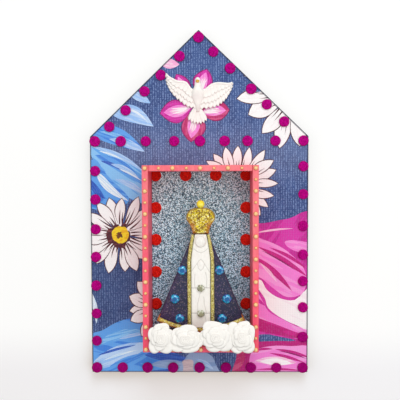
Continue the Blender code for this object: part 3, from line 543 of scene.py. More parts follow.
def make_pink_paint():
    """Coral pink, brushed, with worn spots; painted light makes it paler towards the top and stronger on
    faces turned aside.
    """
    wiring = Finish("coral_paint")
    spot = wiring.place((1.0, 1.0, 0.25))
    strokes = wiring.group(brushed_paint, Vector=spot, Stroke=520.0)
    # Painted light: paler paint higher up, as if lit from above.
    rise = wiring.span(wiring.axes(wiring.place())[2], NICHE_BOTTOM, NICHE_TOP)
    lower = wiring.mix(strokes["Shade"], ink(248, 66, 104), ink(252, 96, 120))
    upper = wiring.mix(strokes["Shade"], ink(243, 94, 116), ink(250, 132, 136))
    paint = wiring.mix(rise, lower, upper)
    # Painted light: faces turned aside get a stronger copy of the paint to stand in for the light they miss.
    normal = wiring.node("NewGeometry").outputs["Normal"]
    facing = wiring.math("ABSOLUTE", wiring.axes(normal)[1])
    sideways = wiring.mix(strokes["Shade"], ink(255, 84, 112), ink(255, 100, 124))
    paint = wiring.mix(wiring.span(facing, 0.3, 0.6), sideways, paint)
    paint = wiring.mix(wiring.times(strokes["Thin"], 0.2), paint, ink(252, 150, 150))
    return wiring.wear(
        Base_Color=paint, Normal=wiring.bump(strokes["Height"], 0.3, 0.0003),
        Roughness=wiring.span(strokes["Shade"], 0.0, 1.0, 0.42, 0.58),
    )


def make_glitter_sheet():
    """Silver-blue glitter paper with painted glints, bluer towards the niche's floor."""
    wiring = Finish("silver_glitter")
    spot = wiring.place()
    flakes = wiring.group(glitter_flakes, Vector=spot, Flakes=1300.0, Tilt=0.6)
    # Each flake's random value runs from dark to white: painted shade and painted glints on the flakes.
    silvers = (
        (0.0, ink(12, 34, 46)), (0.34, ink(92, 126, 142)), (0.56, ink(168, 200, 212)),
        (0.72, ink(246, 254, 255)), (1.0, ink(255, 255, 255)),
    )
    silver = wiring.ramp(flakes["Spark"], silvers)
    tint = wiring.mix(flakes["Tint"], ink(184, 236, 252), ink(222, 246, 248))
    tinted = wiring.mix(0.5, silver, tint, "MULTIPLY")
    blue = wiring.span(wiring.axes(spot)[2], NICHE_FLOOR, NICHE_CEILING, 0.45, 0.0)
    cool = wiring.mix(blue, tinted, wiring.mix(1.0, silver, ink(170, 214, 252), "MULTIPLY"))
    return wiring.wear(
        Base_Color=cool, Roughness=wiring.span(flakes["Tint"], 0.0, 1.0, 0.25, 0.55),
        Metallic=0.1, Normal=flakes["Normal"],
    )


def make_gold_glitter(name, steps, gaps, flake_count=1900.0, bronze=0.0):
    """Glitter grains in glue: each its own gold from painted shade to painted glint, brown where it lies
    thin, bronze at the crown's foot.
    """
    wiring = Finish(name)
    spot = wiring.place()
    flakes = wiring.group(glitter_flakes, Vector=spot, Flakes=flake_count, Tilt=0.5)
    # Painted shade and painted glints: each grain's random value picks its gold.
    gold = wiring.ramp(flakes["Spark"], steps)
    thin = wiring.span(wiring.noise(spot, 330.0, 3.0, 0.6), 0.50, 0.60, 0.0, gaps)
    gold = wiring.mix(thin, gold, ink(122, 66, 10))
    if bronze:
        across, _, height = wiring.axes(spot)
        aside = wiring.math("ABSOLUTE", wiring.minus(across, NICHE_MIDDLE))
        low = wiring.span(height, *BRONZE_HEIGHT, bronze, 0.0)
        gold = wiring.mix(wiring.times(low, wiring.span(aside, *BRONZE_ASIDE)), gold, ink(196, 92, 14))
    return wiring.wear(
        Base_Color=gold, Roughness=wiring.span(flakes["Tint"], 0.0, 1.0, 0.22, 0.5),
        Metallic=0.15, Normal=flakes["Normal"],
    )


def make_navy_paint():
    """Dark mantle with a painted violet sheen and a dusting of fine glitter."""
    wiring = Finish("mantle_paint")
    spot = wiring.place()
    strokes = wiring.group(brushed_paint, Vector=spot, Stroke=380.0)
    violet = wiring.noise(spot, 70.0, 3.0)
    paint = wiring.mix(strokes["Shade"], ink(20, 24, 52), ink(34, 40, 76))
    paint = wiring.mix(wiring.span(violet, 0.45, 0.70, 0.0, 0.45), paint, ink(58, 32, 82))
    edge = wiring.span(wiring.axes(spot)[0], *MANTLE_EDGE, 0.55, 0.0)
    paint = wiring.mix(edge, paint, ink(60, 16, 68))
    dust = wiring.group(glitter_flakes, Vector=spot, Flakes=1500.0, Tilt=0.35)
    specks = wiring.span(dust["Spark"], 0.86, 0.92)
    sparkle = wiring.mix(dust["Tint"], ink(150, 120, 190), ink(196, 176, 150))
    return wiring.wear(
        Base_Color=wiring.mix(wiring.times(specks, 0.4), paint, sparkle),
        Roughness=wiring.span(specks, 0.0, 1.0, 0.55, 0.25),
        Normal=wiring.bump(strokes["Height"], 0.4, 0.0003),
    )


def make_white_paint():
    """Thick white paint of the robe, with painted shade in the cut lines."""
    wiring = Finish("robe_white")
    strokes = wiring.group(brushed_paint, Vector=wiring.place((1.0, 1.0, 0.5)), Stroke=600.0)
    paint = wiring.mix(strokes["Shade"], ink(244, 241, 233), ink(254, 253, 247))
    # Painted shade: grey along the cut lines and the steps between tiers.
    cut = wiring.attribute("cut", "Fac")
    return wiring.wear(
        Base_Color=wiring.mix(wiring.times(cut, 0.5), paint, ink(138, 128, 116)),
        Roughness=0.5, Normal=wiring.bump(strokes["Height"], 0.35, 0.0002),
    )


def make_orange_paint():
    """Orange-gold paint on the figure's sawn edges."""
    wiring = Finish("edge_gold_paint")
    strokes = wiring.group(brushed_paint, Vector=wiring.place(), Stroke=700.0)
    paint = wiring.mix(strokes["Shade"], *EDGE_GOLDS)
    return wiring.wear(
        Base_Color=wiring.mix(strokes["Thin"], paint, ink(150, 110, 60)),
        Roughness=0.45, Metallic=0.15, Normal=wiring.bump(strokes["Height"], 0.4, 0.0002),
    )


def make_figure_edge():
    """The figure's plate: violet beside the mantle, orange at its hem and crown's foot, gold above."""
    wiring = Finish("figure_edge_paint")
    spot = wiring.place()
    strokes = wiring.group(brushed_paint, Vector=spot, Stroke=700.0)
    orange = wiring.mix(strokes["Shade"], *EDGE_GOLDS)
    violet = wiring.mix(strokes["Shade"], ink(36, 26, 56), ink(66, 36, 82))
    pale_gold = wiring.mix(strokes["Shade"], ink(150, 124, 34), ink(196, 170, 60))
    height = wiring.plus(wiring.axes(spot)[2], wiring.times(wiring.noise(spot, 300.0, 3.0), EDGE_RAGGEDNESS))
    beside_mantle = wiring.times(wiring.span(height, *HEM_TOP), wiring.span(height, *NECK_TOP, 1.0, 0.0))
    gold = wiring.mix(wiring.span(height, *CROWN_MIDDLE), orange, pale_gold)
    return wiring.wear(
        Base_Color=wiring.mix(beside_mantle, gold, violet), Roughness=0.48,
        Normal=wiring.bump(strokes["Height"], 0.4, 0.0002),
    )


def make_pearl():
    """Half-pearl, cream at its crown and amber towards its glued edge; the cream is a painted highlight."""
    wiring = Finish("amber_pearl")
    spot = wiring.place()
    # Painted highlight: cream where the dome stands out furthest, amber at its glued edge.
    rise = wiring.span(wiring.axes(spot)[1], NICHE_FRONT - PEARL_RADIUS, NICHE_FRONT, 1.0, 0.0)
    clouds = wiring.noise(spot, 700.0, 2.0)
    body = wiring.mix(rise, ink(226, 132, 52), ink(252, 206, 138))
    return wiring.wear(
        Base_Color=wiring.mix(wiring.times(clouds, 0.3), body, ink(255, 196, 150)),
        Roughness=0.22, Coat_Weight=0.8, Coat_Roughness=0.06,
    )


def make_facet_finish(name, roughness, metallic):
    """Foil-backed stone: each facet keeps its own painted glint."""
    wiring = Finish(name)
    glint = wiring.attribute("glint")
    veil = wiring.noise(wiring.place(), 900.0, 2.0)
    return wiring.wear(
        Base_Color=wiring.mix(wiring.times(veil, 0.15), glint, ink(30, 60, 90)),
        Roughness=roughness, Metallic=metallic, Coat_Weight=1.0, Coat_Roughness=0.03,
    )


def make_petal_white():
    """Foam petals: matt white, with painted shade towards the folds."""
    wiring = Finish("foam_petal")
    spot = wiring.place()
    fold_shade = wiring.attribute("fold_shade", "Fac")
    grain = wiring.noise(spot, 2600.0, 3.0)
    white = wiring.mix(wiring.noise(spot, 140.0, 2.0), ink(255, 253, 248), ink(250, 247, 241))
    return wiring.wear(
        Base_Color=wiring.mix(wiring.times(fold_shade, 0.6), white, ink(206, 194, 184)),
        Roughness=0.85, Sheen_Weight=0.1, Normal=wiring.bump(grain, 0.25, 0.0002),
    )


def make_dove_finish():
    """Cast resin, softly glossy, with painted shade in the hollows between feathers."""
    wiring = Finish("dove_resin")
    spot = wiring.place()
    hollow_shade = wiring.attribute("fold_shade", "Fac")
    mottle = wiring.noise(spot, 320.0, 3.0)
    white = wiring.mix(mottle, ink(254, 252, 247), ink(246, 241, 235))
    return wiring.wear(
        Base_Color=wiring.mix(wiring.times(hollow_shade, 0.45), white, ink(196, 176, 172)),
        Roughness=0.42, Normal=wiring.bump(wiring.noise(spot, 1500.0, 2.0), 0.15, 0.0002),
    )


def make_beak_gold():
    wiring = Finish("beak_gold")
    streaks = wiring.noise(wiring.place(), 1600.0, 3.0)
    return wiring.wear(
        Base_Color=wiring.mix(streaks, ink(222, 160, 40), ink(250, 208, 104)),
        Roughness=0.35, Metallic=0.15, Normal=wiring.bump(streaks, 0.3, 0.0001),
    )


def make_yellow_glass():
    wiring = Finish("yellow_glass")
    swirl = wiring.noise(wiring.place(), 420.0, 3.0)
    return wiring.wear(
        Base_Color=wiring.ramp(swirl, ((0.3, ink(255, 232, 0)), (0.7, ink(255, 250, 90)))),
        Roughness=0.08, Coat_Weight=1.0, Coat_Roughness=0.03,
    )


def make_hanger_metal():
    """Brass-plated wire and strap with fine scratches and dull spots."""
    wiring = Finish("hanger_brass")
    spot = wiring.place((1.0, 1.0, 0.08))
    scratches = wiring.noise(spot, 3000.0, 3.0, 0.7)
    dull = wiring.span(wiring.noise(wiring.place(), 260.0, 4.0), 0.48, 0.66)
    brass = wiring.mix(scratches, ink(188, 150, 80), ink(228, 196, 128))
    return wiring.wear(
        Base_Color=wiring.mix(wiring.times(dull, 0.5), brass, ink(130, 98, 58)),
        Roughness=wiring.span(dull, 0.0, 1.0, 0.28, 0.5), Metallic=1.0,
        Normal=wiring.bump(scratches, 0.2, 0.0001),
    )


board_finish = make_board_finish()
panel_finish = make_panel_finish()
cloth_finish = make_cloth_finish()
magenta_felt = make_felt("magenta_felt_finish", ink(136, 0, 92), ink(206, 4, 146))
red_felt = make_felt("red_felt_finish", ink(168, 12, 8), ink(248, 44, 30))
coral_paint = make_pink_paint()
glitter_finish = make_glitter_sheet()
gold_glitter = make_gold_glitter("gold_glitter", GOLD_STEPS, 0.25)
crown_glitter = make_gold_glitter("crown_glitter", CROWN_STEPS, 0.65, flake_count=1250.0, bronze=0.6)
hem_glitter = make_gold_glitter("hem_glitter", HEM_STEPS, 0.35)
mantle_finish = make_navy_paint()
robe_white = make_white_paint()
orange_paint = make_orange_paint()
figure_edge = make_figure_edge()
pearl_finish = make_pearl()
blue_facets = make_facet_finish("blue_facets", 0.12, 0.1)
clear_facets = make_facet_finish("clear_facets", 0.1, 0.2)
petal_white = make_petal_white()
dove_finish = make_dove_finish()
beak_gold = make_beak_gold()
yellow_glass = make_yellow_glass()
hanger_brass = make_hanger_metal()


# Solids whose shape is right keep it and get their finish.
for finish, *node_names in (
    (board_finish, "back_board"),
    (coral_paint, "niche_left_wall", "niche_right_wall", "niche_top_wall", "niche_bottom_wall"),
    (panel_finish, "niche_back_panel", "figure_foot"),
    (glitter_finish, "glitter_backing"),
    (figure_edge, "figure_back_plate"),
    (mantle_finish, "mantle"),
    (orange_paint, "crown"),
    (hanger_brass, "crown_pin", "hanger_strap", "hanger_ring", "hanger_screw_1", "hanger_screw_2"),
):
    for node_name in node_names:
        nodes[node_name].data.materials.clear()
        nodes[node_name].data.materials.append(finish)


# Geometry node trees: members set in places, and a coat of grains.
def new_geometry_tree(name, **inputs):
    """Tree with named inputs: its wiring and its input sockets."""
    wiring = Wiring(bpy.data.node_groups.new(name, "GeometryNodeTree"))
    add_socket(wiring.tree, "Geometry", "Geometry", "OUTPUT")
    add_socket(wiring.tree, "Geometry", "Geometry")
    for label, kind in inputs.items():
        add_socket(wiring.tree, label, kind)
    return wiring, wiring.node("NodeGroupInput").outputs


def end_tree(wiring, geometry, finish):
    """Instances made real, then the finish; gives the tree."""
    real = wiring.node("GeometryNodeRealizeInstances", {0: geometry}).outputs[0]
    painted = wiring.node("GeometryNodeSetMaterial", {"Geometry": real, "Material": finish}).outputs[0]
    wiring.node("NodeGroupOutput", {"Geometry": painted})
    return wiring.tree


def make_member_tree():
    """A member at every point, turned at random about the depth axis, sized by the point."""
    wiring, source = new_geometry_tree(
        "members_in_places", Member="Object", Finish="Material", Turn="Float", Seed="Int"
    )
    member = wiring.node("GeometryNodeObjectInfo", {"Object": source["Member"], "As Instance": True})
    chance = {3: source["Turn"], "Seed": source["Seed"]}
    turn = wiring.node("FunctionNodeRandomValue", chance, data_type="FLOAT")
    size = wiring.node("GeometryNodeInputNamedAttribute", {"Name": "size"}, data_type="FLOAT")
    setting = wiring.node("GeometryNodeInstanceOnPoints", {
        "Points": source["Geometry"],
        "Instance": member.outputs["Geometry"],
        "Rotation": wiring.node("CombineXYZ", {"Y": turn.outputs[1]}).outputs[0],
        "Scale": size.outputs[0],
    })
    return end_tree(wiring, setting.outputs[0], source["Finish"])


def make_grain_tree():
    """Grains scattered over a lump of glue, joined to it."""
    wiring, source = new_geometry_tree(
        "coat_of_grains", Grain="Object", Finish="Material",
        Density="Float", Smallest="Float", Largest="Float", Seed="Int",
    )
    seed = source["Seed"]
    lump = source["Geometry"]
    grain = wiring.node("GeometryNodeObjectInfo", {"Object": source["Grain"], "As Instance": True})
    scatter = wiring.node(
        "GeometryNodeDistributePointsOnFaces", {"Mesh": lump, "Density": source["Density"], "Seed": seed},
        distribute_method="RANDOM",
    )
    all_ways = {1: (2 * math.pi, 2 * math.pi, 2 * math.pi), "Seed": seed}
    turn = wiring.node("FunctionNodeRandomValue", all_ways, data_type="FLOAT_VECTOR")
    sizes = {2: source["Smallest"], 3: source["Largest"], "Seed": seed}
    size = wiring.node("FunctionNodeRandomValue", sizes, data_type="FLOAT")
    setting = wiring.node("GeometryNodeInstanceOnPoints", {
        "Points": scatter.outputs["Points"],
        "Instance": grain.outputs["Geometry"],
        "Rotation": turn.outputs[0],
        "Scale": size.outputs[1],
    })
    join = wiring.node("GeometryNodeJoinGeometry", {0: lump})
    wiring.fill(join.inputs, {0: setting.outputs[0]})
    return end_tree(wiring, join.outputs[0], source["Finish"])


member_tree = make_member_tree()
grain_tree = make_grain_tree()


def run_tree(name, carrier, tree, settings):
    """Plain mesh object from a carrier and a tree; the carrier and its tools go away."""
    modifier = carrier.modifiers.new(name, "NODES")
    modifier.node_group = tree
    tools = [carrier]
    for item in tree.interface.items_tree:
        if item.in_out == "INPUT" and item.name in settings:
            modifier[item.identifier] = settings[item.name]
            if isinstance(settings[item.name], bpy.types.Object):
                tools.append(settings[item.name])
    evaluated = carrier.evaluated_get(bpy.context.evaluated_depsgraph_get())
    mesh = bpy.data.meshes.new_from_object(evaluated)
    mesh.name = name
    carrier.modifiers.remove(modifier)
    for tool in tools:
        bpy.data.objects.remove(tool)
    return add_object(name, mesh)


def set_members(name, member, places, finish, seed):
    """Copies of a member at (point, size) places, each turned at random."""
    mesh = bpy.data.meshes.new(name + "_places")
    mesh.from_pydata([point for point, size in places], [], [])
    sizes = mesh.attributes.new("size", "FLOAT", "POINT")
    for item, (point, size) in zip(sizes.data, places):
        item.value = size
    settings = {"Member": member, "Finish": finish, "Turn": 2 * math.pi, "Seed": seed}
    return run_tree(name, add_object(name + "_places", mesh), member_tree, settings)


# Printed cloth. The print is drawn in millimetres on the board: x from the middle, y up.
LINE_WIDTH = 0.85
VEIN_WIDTH = 1.5
LINED_FULLNESS = 1.5
PATCH_STEPS = (0.0, 0.25, 0.5, 0.75)
DISC_SIDES = 32
LEAF_STEPS = 12
STREAK_STEP = 1.37
GROUND_STROKE = 60.0
CUT_TOLERANCE = 1e-5
INSIDE_ONLY = 1
# Each ink: its colour, the colour of its streaks, how much of them, and how far the weave shows.
INKS = {
    "denim": (ink(55, 77, 130), ink(63, 88, 142), 0.5, 0.75),
    "brown": (ink(94, 42, 44), ink(76, 32, 36), 0.5, 0.02),
    "bark": (ink(126, 66, 64), ink(86, 38, 42), 0.6, 0.05),
    "daisy": (ink(255, 254, 253), ink(252, 246, 246), 0.35, 0.01),
    "yolk": (ink(252, 222, 44), ink(244, 190, 36), 0.45, 0.01),
    "seed": (ink(126, 78, 34), ink(92, 48, 30), 0.5, 0.02),
    "sky": (ink(98, 170, 241), ink(142, 200, 249), 0.55, 0.12),
    "blue": (ink(66, 134, 226), ink(98, 166, 240), 0.6, 0.16),
    "deep": (ink(46, 86, 182), ink(60, 108, 208), 0.5, 0.20),
    "mist": (ink(158, 198, 248), ink(188, 216, 250), 0.5, 0.08),
    "slate": (ink(136, 166, 214), ink(158, 186, 226), 0.5, 0.10),
    "sand": (ink(206, 186, 194), ink(222, 204, 208), 0.5, 0.08),
    "ice": (ink(196, 226, 251), ink(238, 247, 254), 0.6, 0.06),
    "magenta": (ink(220, 56, 172), ink(202, 36, 152), 0.5, 0.16),
    "pink": (ink(248, 132, 216), ink(251, 158, 224), 0.5, 0.10),
    "blush": (ink(250, 176, 218), ink(252, 214, 234), 0.5, 0.06),
    "milk": (ink(254, 250, 251), ink(252, 240, 246), 0.45, 0.02),
    "plum": (ink(158, 24, 108), ink(128, 14, 88), 0.5, 0.10),
    "cerise": (ink(208, 32, 138), ink(192, 22, 122), 0.5, 0.12),
    "rust": (ink(196, 46, 110), ink(214, 84, 134), 0.5, 0.12),
}


def signed_area(outline):
    """Area inside an outline, below zero where it runs clockwise."""
    return sum(a.x * b.y - b.x * a.y for a, b in zip(outline, outline[1:] + outline[:1])) / 2


class Print:
    """Flat shapes laid one over another, each with its ink and its stroke direction."""

    def __init__(self):
        self.shapes = []

    def lay(self, outline, ink_name, base, tip, half_width):
        if signed_area(outline) < 0:
            outline = outline[::-1]
        seed = len(self.shapes) * STREAK_STEP
        self.shapes.append((outline, ink_name, Vector(base), Vector(tip), half_width, seed))

    def petal(self, ink_name, base, tip, width, bend=0.0, fullness=1.0, line=None):
        """Leaf shape from base to tip, bowed sideways by bend, widest further out if fuller.

        A line is the ink of an outline that shows round it.
        """
        if line:
            far_tip = Vector(tip) + (Vector(tip) - Vector(base)).normalized() * LINE_WIDTH
            full_width = width + 2 * LINE_WIDTH
            self.lay(leaf(base, far_tip, full_width, bend, fullness), line, base, far_tip, full_width / 2)
        self.lay(leaf(base, tip, width, bend, fullness), ink_name, base, tip, width / 2)

    def petals(self, rows):
        for row in rows:
            self.petal(*row)

    def patch(self, ink_name, corners):
        """Smooth closed shape through a ring of corners."""
        count = len(corners)
        ring = [Vector(corners[i % count]) for i in range(-1, count + 2)]
        points = []
        for i in range(1, count + 1):
            for t in PATCH_STEPS:
                points.append(on_curve(ring[i - 1:i + 3], (1 + t) / 3))
        base = min(points, key=lambda point: point.x)
        tip = max(points, key=lambda point: point.x)
        self.lay(points, ink_name, base, tip, (tip - base).length / 3)

    def disc(self, ink_name, centre, radius, wobble, seed):
        """Round spot with an uneven rim."""
        points = []
        for angle in turns(DISC_SIDES):
            reach = radius * (1.0 + wobble * noise.noise((3 * math.cos(angle), 3 * math.sin(angle), seed)))
            points.append(centre + Vector((reach * math.cos(angle), reach * math.sin(angle))))
        self.lay(points, ink_name, centre, centre + Vector((radius, 0.0)), radius)

    def daisy(self, centre, reach, count, heart, seed, share=0.76, start=0.0):
        """Ring of pointed, outlined petals about a yellow heart."""
        chance = random.Random(seed)
        centre = Vector(centre)
        order = list(range(count))
        chance.shuffle(order)
        for i in order:
            angle = start + 2 * math.pi * (i + chance.uniform(-0.18, 0.18)) / count
            way = Vector((math.cos(angle), math.sin(angle)))
            side = Vector((-way.y, way.x))
            length = reach * chance.uniform(0.90, 1.05)
            width = 2 * math.pi * reach * share / count * chance.uniform(0.85, 1.2)
            bend = chance.uniform(-0.05, 0.05) * reach
            base = centre + way * heart * 0.5
            self.petal("daisy", base, centre + way * length, width, bend, LINED_FULLNESS, "brown")
            for shift in (-0.16, 0.12):
                root = centre + way * heart * 1.15 + side * shift * width
                far = heart + (length - heart) * chance.uniform(0.3, 0.7)
                end = centre + way * far + side * shift * width
                self.petal("brown", root, end, VEIN_WIDTH, bend * 0.3, 0.5)
        self.disc("bark", centre - Vector((heart * 0.25, heart * 0.15)), heart * 1.38, 0.35, seed)
        self.disc("yolk", centre, heart, 0.15, seed + 3)
        self.disc("seed", centre + Vector((-heart * 0.15, -heart * 0.05)), heart * 0.36, 0.8, seed + 5)


def leaf(base, tip, width, bend, fullness):
    """Outline of a leaf from base to tip."""
    base = Vector(base)
    run = Vector(tip) - base
    side = Vector((-run.y, run.x)).normalized()
    left = []
    right = []
    for i in range(LEAF_STEPS + 1):
        t = i / LEAF_STEPS
        half = width / 2 * math.sin(math.pi * t ** fullness) ** 0.85 if 0 < i < LEAF_STEPS else 0.0
        middle = base + run * t + side * bend * math.sin(math.pi * t)
        left.append(middle + side * half)
        right.append(middle - side * half)
    return left + right[-2:0:-1]


def house_outline(margin):
    """Outline of the board in millimetres, drawn in by a margin."""
    half = HALF_BOARD / MM
    eave = EAVE_HEIGHT / MM
    gable = GABLE_HEIGHT / MM
    slope = math.atan2(gable, half)
    shoulder = eave - margin * math.tan((math.pi / 2 - slope) / 2)
    side = half - margin
    top = eave + gable - margin / math.cos(slope)
    corners = ((-side, margin), (side, margin), (side, shoulder), (0.0, top), (-side, shoulder))
    return [Vector(corner) for corner in corners]


def draw_blue_leaves(cloth):
    """Painted leaves down the left side and under the niche."""
    cloth.petals((
        ("mist", (-68, 281), (-48, 271), 9, 1, 0.8),
        ("mist", (-88, 263), (-45, 248), 17, 5, 0.8),
        ("ice", (-74, 266), (-50, 251), 2.2, 3, 0.8),
        ("blue", (-112, 246), (-54, 223), 18, 4, 0.8),
        ("mist", (-90, 236), (-54, 223), 8, 2, 1.1),
        ("sky", (-100, 243), (-66, 231), 4, 3, 0.9),
    ))
    cloth.patch("sky", (
        (-110, 229), (-96, 226), (-80, 219), (-66, 211), (-56, 203), (-51, 194), (-51, 172), (-64, 174),
        (-78, 182), (-92, 198), (-104, 212),
    ))
    cloth.patch("blue", (
        (-110, 212), (-101, 212), (-92, 200), (-80, 188), (-70, 176), (-78, 168), (-95, 166),
        (-110, 170),
    ))
    cloth.petals((
        ("mist", (-109, 229), (-54, 202), 5.0, 4, 1.0),
        ("blue", (-104, 220), (-54, 189), 11, 4, 0.9),
        ("deep", (-98, 214), (-72, 201), 3.4, 2, 0.8),
        ("mist", (-88, 211), (-60, 197), 4.4, 2, 0.8),
        ("ice", (-80, 206), (-56, 193), 1.8, 1, 0.8),
        ("mist", (-84, 196), (-54, 180), 6, 2, 1.0),
        ("ice", (-100, 224), (-74, 214), 1.8, 1, 0.8),
        ("ice", (-102, 202), (-71, 174), 8, -3, 0.65),
        ("deep", (-109, 196), (-94, 176), 7, -2, 1.0),
        ("ice", (-109, 82), (-104, 50), 5, 1, 1.0),
    ))
    cloth.patch("blue", (
        (-112, 35), (-98, 43), (-84, 51), (-70, 55), (-56, 53), (-47, 46), (-40, 32), (-24, 18),
        (-12, -4), (-60, -6), (-112, -4),
    ))
    cloth.petals((
        ("sky", (-106, 27), (-50, 42), 10, 4, 0.9),
        ("mist", (-82, 34), (-52, 40), 3.4, 1, 0.9),
        ("mist", (-114, 2), (-46, 30), 17, 3, 0.9),
        ("deep", (-104, 17), (-64, 28), 2.6, 1, 0.9),
        ("ice", (-98, 12), (-62, 23), 2.2, 1, 0.9),
        ("blue", (-100, -4), (-48, 20), 11, 2, 0.9),
        ("deep", (-56, 18), (-10, 13), 10, 1, 0.9),
        ("slate", (-50, 8), (-8, 7), 9, 1, 0.9),
        ("deep", (-50, 1), (-10, 2), 4, 0, 0.9),
    ))
    cloth.patch("slate", ((-10, 20), (4, 21), (13, 16), (16, 9), (21, -4), (6, -6), (-26, -4), (-20, 5)))
    cloth.petal("mist", (-4, 14), (14, 3), 5, 1)
    cloth.patch("sand", ((-17, 12), (-7, 12.5), (-6.5, 4), (-6, -4), (-17, -4), (-16.5, 5)))


def draw_pink_flower(cloth):
    """Broad petals of one large bloom down the right side."""
    cloth.patch("magenta", (
        (48, 144), (70, 152), (90, 156), (112, 160), (112, 100), (112, 33), (92, 34.5), (70, 39),
        (48, 43), (48, 90),
    ))
    cloth.petal("blush", (54, 141), (94, 146), 2.0, 1)
    cloth.patch("pink", (
        (48, 138), (64, 135), (84, 126), (100, 112), (107, 99), (104, 81), (88, 77), (74, 86), (62, 96),
        (48, 104),
    ))
    cloth.patch("pink", ((86, 133), (97, 134), (112, 130), (112, 121), (97, 123), (88, 128)))
    cloth.petals((
        ("cerise", (58, 128), (109, 97), 5, 2),
        ("cerise", (70, 127), (108, 105), 3.4, 2),
        ("cerise", (50, 120), (93, 83), 6, 3),
        ("plum", (62, 124), (96, 104), 1.4, 1),
        ("blush", (60, 112), (78, 92), 3, 1),
    ))
    cloth.patch("pink", (
        (48, 90), (58, 82), (64, 72), (70, 62), (84, 54), (98, 47), (112, 44), (112, 34), (92, 36),
        (70, 45), (48, 60),
    ))
    cloth.petal("magenta", (50, 78), (66, 68), 4, 1)
    cloth.patch("milk", (
        (54, 93), (62, 94), (68, 84), (80, 76), (96, 74), (112, 86), (112, 46), (96, 49), (80, 57),
        (69, 66), (66, 75), (60, 84),
    ))
    cloth.patch("cerise", (
        (48, 60), (61, 55), (80, 48), (98, 41), (112, 38), (112, 34.5), (98, 35), (80, 38), (61, 42),
        (48, 44),
    ))
    cloth.petal("plum", (33.5, -4), (44, 24), 2.2, 2)
    cloth.patch("rust", ((40, 24), (36.5, 12), (34, -4), (64, -6), (68, 20), (54, 27)))
    cloth.patch("cerise", ((48, 29), (72, 32), (92, 32), (112, 31), (112, -4), (44, -6), (46, 14)))
    cloth.patch("pink", ((54, 22), (72, 27), (92, 27), (112, 25), (112, -4), (52, -6), (50, 10)))
    cloth.petals((
        ("cerise", (76, 24), (112, 15), 3.4, 1),
        ("cerise", (70, 20), (106, 10), 3.0, 1),
        ("plum", (80, 22), (108, 14), 1.4, 1),
        ("blush", (56, 12), (98, 10), 9, 1),
        ("milk", (61, 11.5), (93, 9.5), 7, 0.5),
        ("cerise", (54, 22), (74, 24), 2.6, 1),
        ("cerise", (56, 3), (104, 2), 2.4, 1),
    ))


def draw_bloom(cloth):
    """Small five-petalled bloom behind the dove."""
    for ground, base, tip, width in (
        ("magenta", (-5, 268), (-38, 261), 22),
        ("rust", (-5, 265), (-8, 233), 23),
        ("rust", (1, 261), (30, 264), 21),
        ("magenta", (2, 276), (8, 304), 18),
        ("magenta", (-7, 277), (-22, 299), 15),
    ):
        base = Vector(base)
        run = Vector(tip) - base
        side = run.orthogonal().normalized() * width
        cloth.petal(ground, base, tip, width, 1.5, 1.15, "plum")
        cloth.petal("pink", base + run * 0.05, base + run * 0.9, width * 0.54, 1.5, 1.1)
        cloth.petal("blush", base + run * 0.08, base + run * 0.74, width * 0.32, 1.5, 1.0)
        for share in (-0.12, 0.0, 0.13):
            cloth.petal("milk", base + run * 0.12, base + run * 0.68 + side * share, VEIN_WIDTH, 1.0)


def draw_print():
    """The whole print: ground, leaves, petals, daisies and bloom, from the lowest layer up."""
    cloth = Print()
    cloth.lay(house_outline(FABRIC_MARGIN / MM), "denim", (0.0, 0.0), (0.0, GROUND_STROKE), GROUND_STROKE)
    cloth.petal("blush", (-40, 313), (-19, 309), 10, -1)
    draw_blue_leaves(cloth)
    draw_pink_flower(cloth)
    # Daisies: left, over the niche, on the right slope and low beside the niche.
    cloth.daisy((-79, 140), 40, 17, 8.6, 11)
    cloth.daisy((38, 190), 42, 20, 8.0, 23, share=0.66)
    cloth.daisy((93, 279), 53, 16, 10.0, 31, start=0.09)
    cloth.petal("denim", (62, 282), (36, 297), 12)
    cloth.daisy((-40, 66), 33, 14, 7.0, 47, start=0.04)
    draw_bloom(cloth)
    return cloth


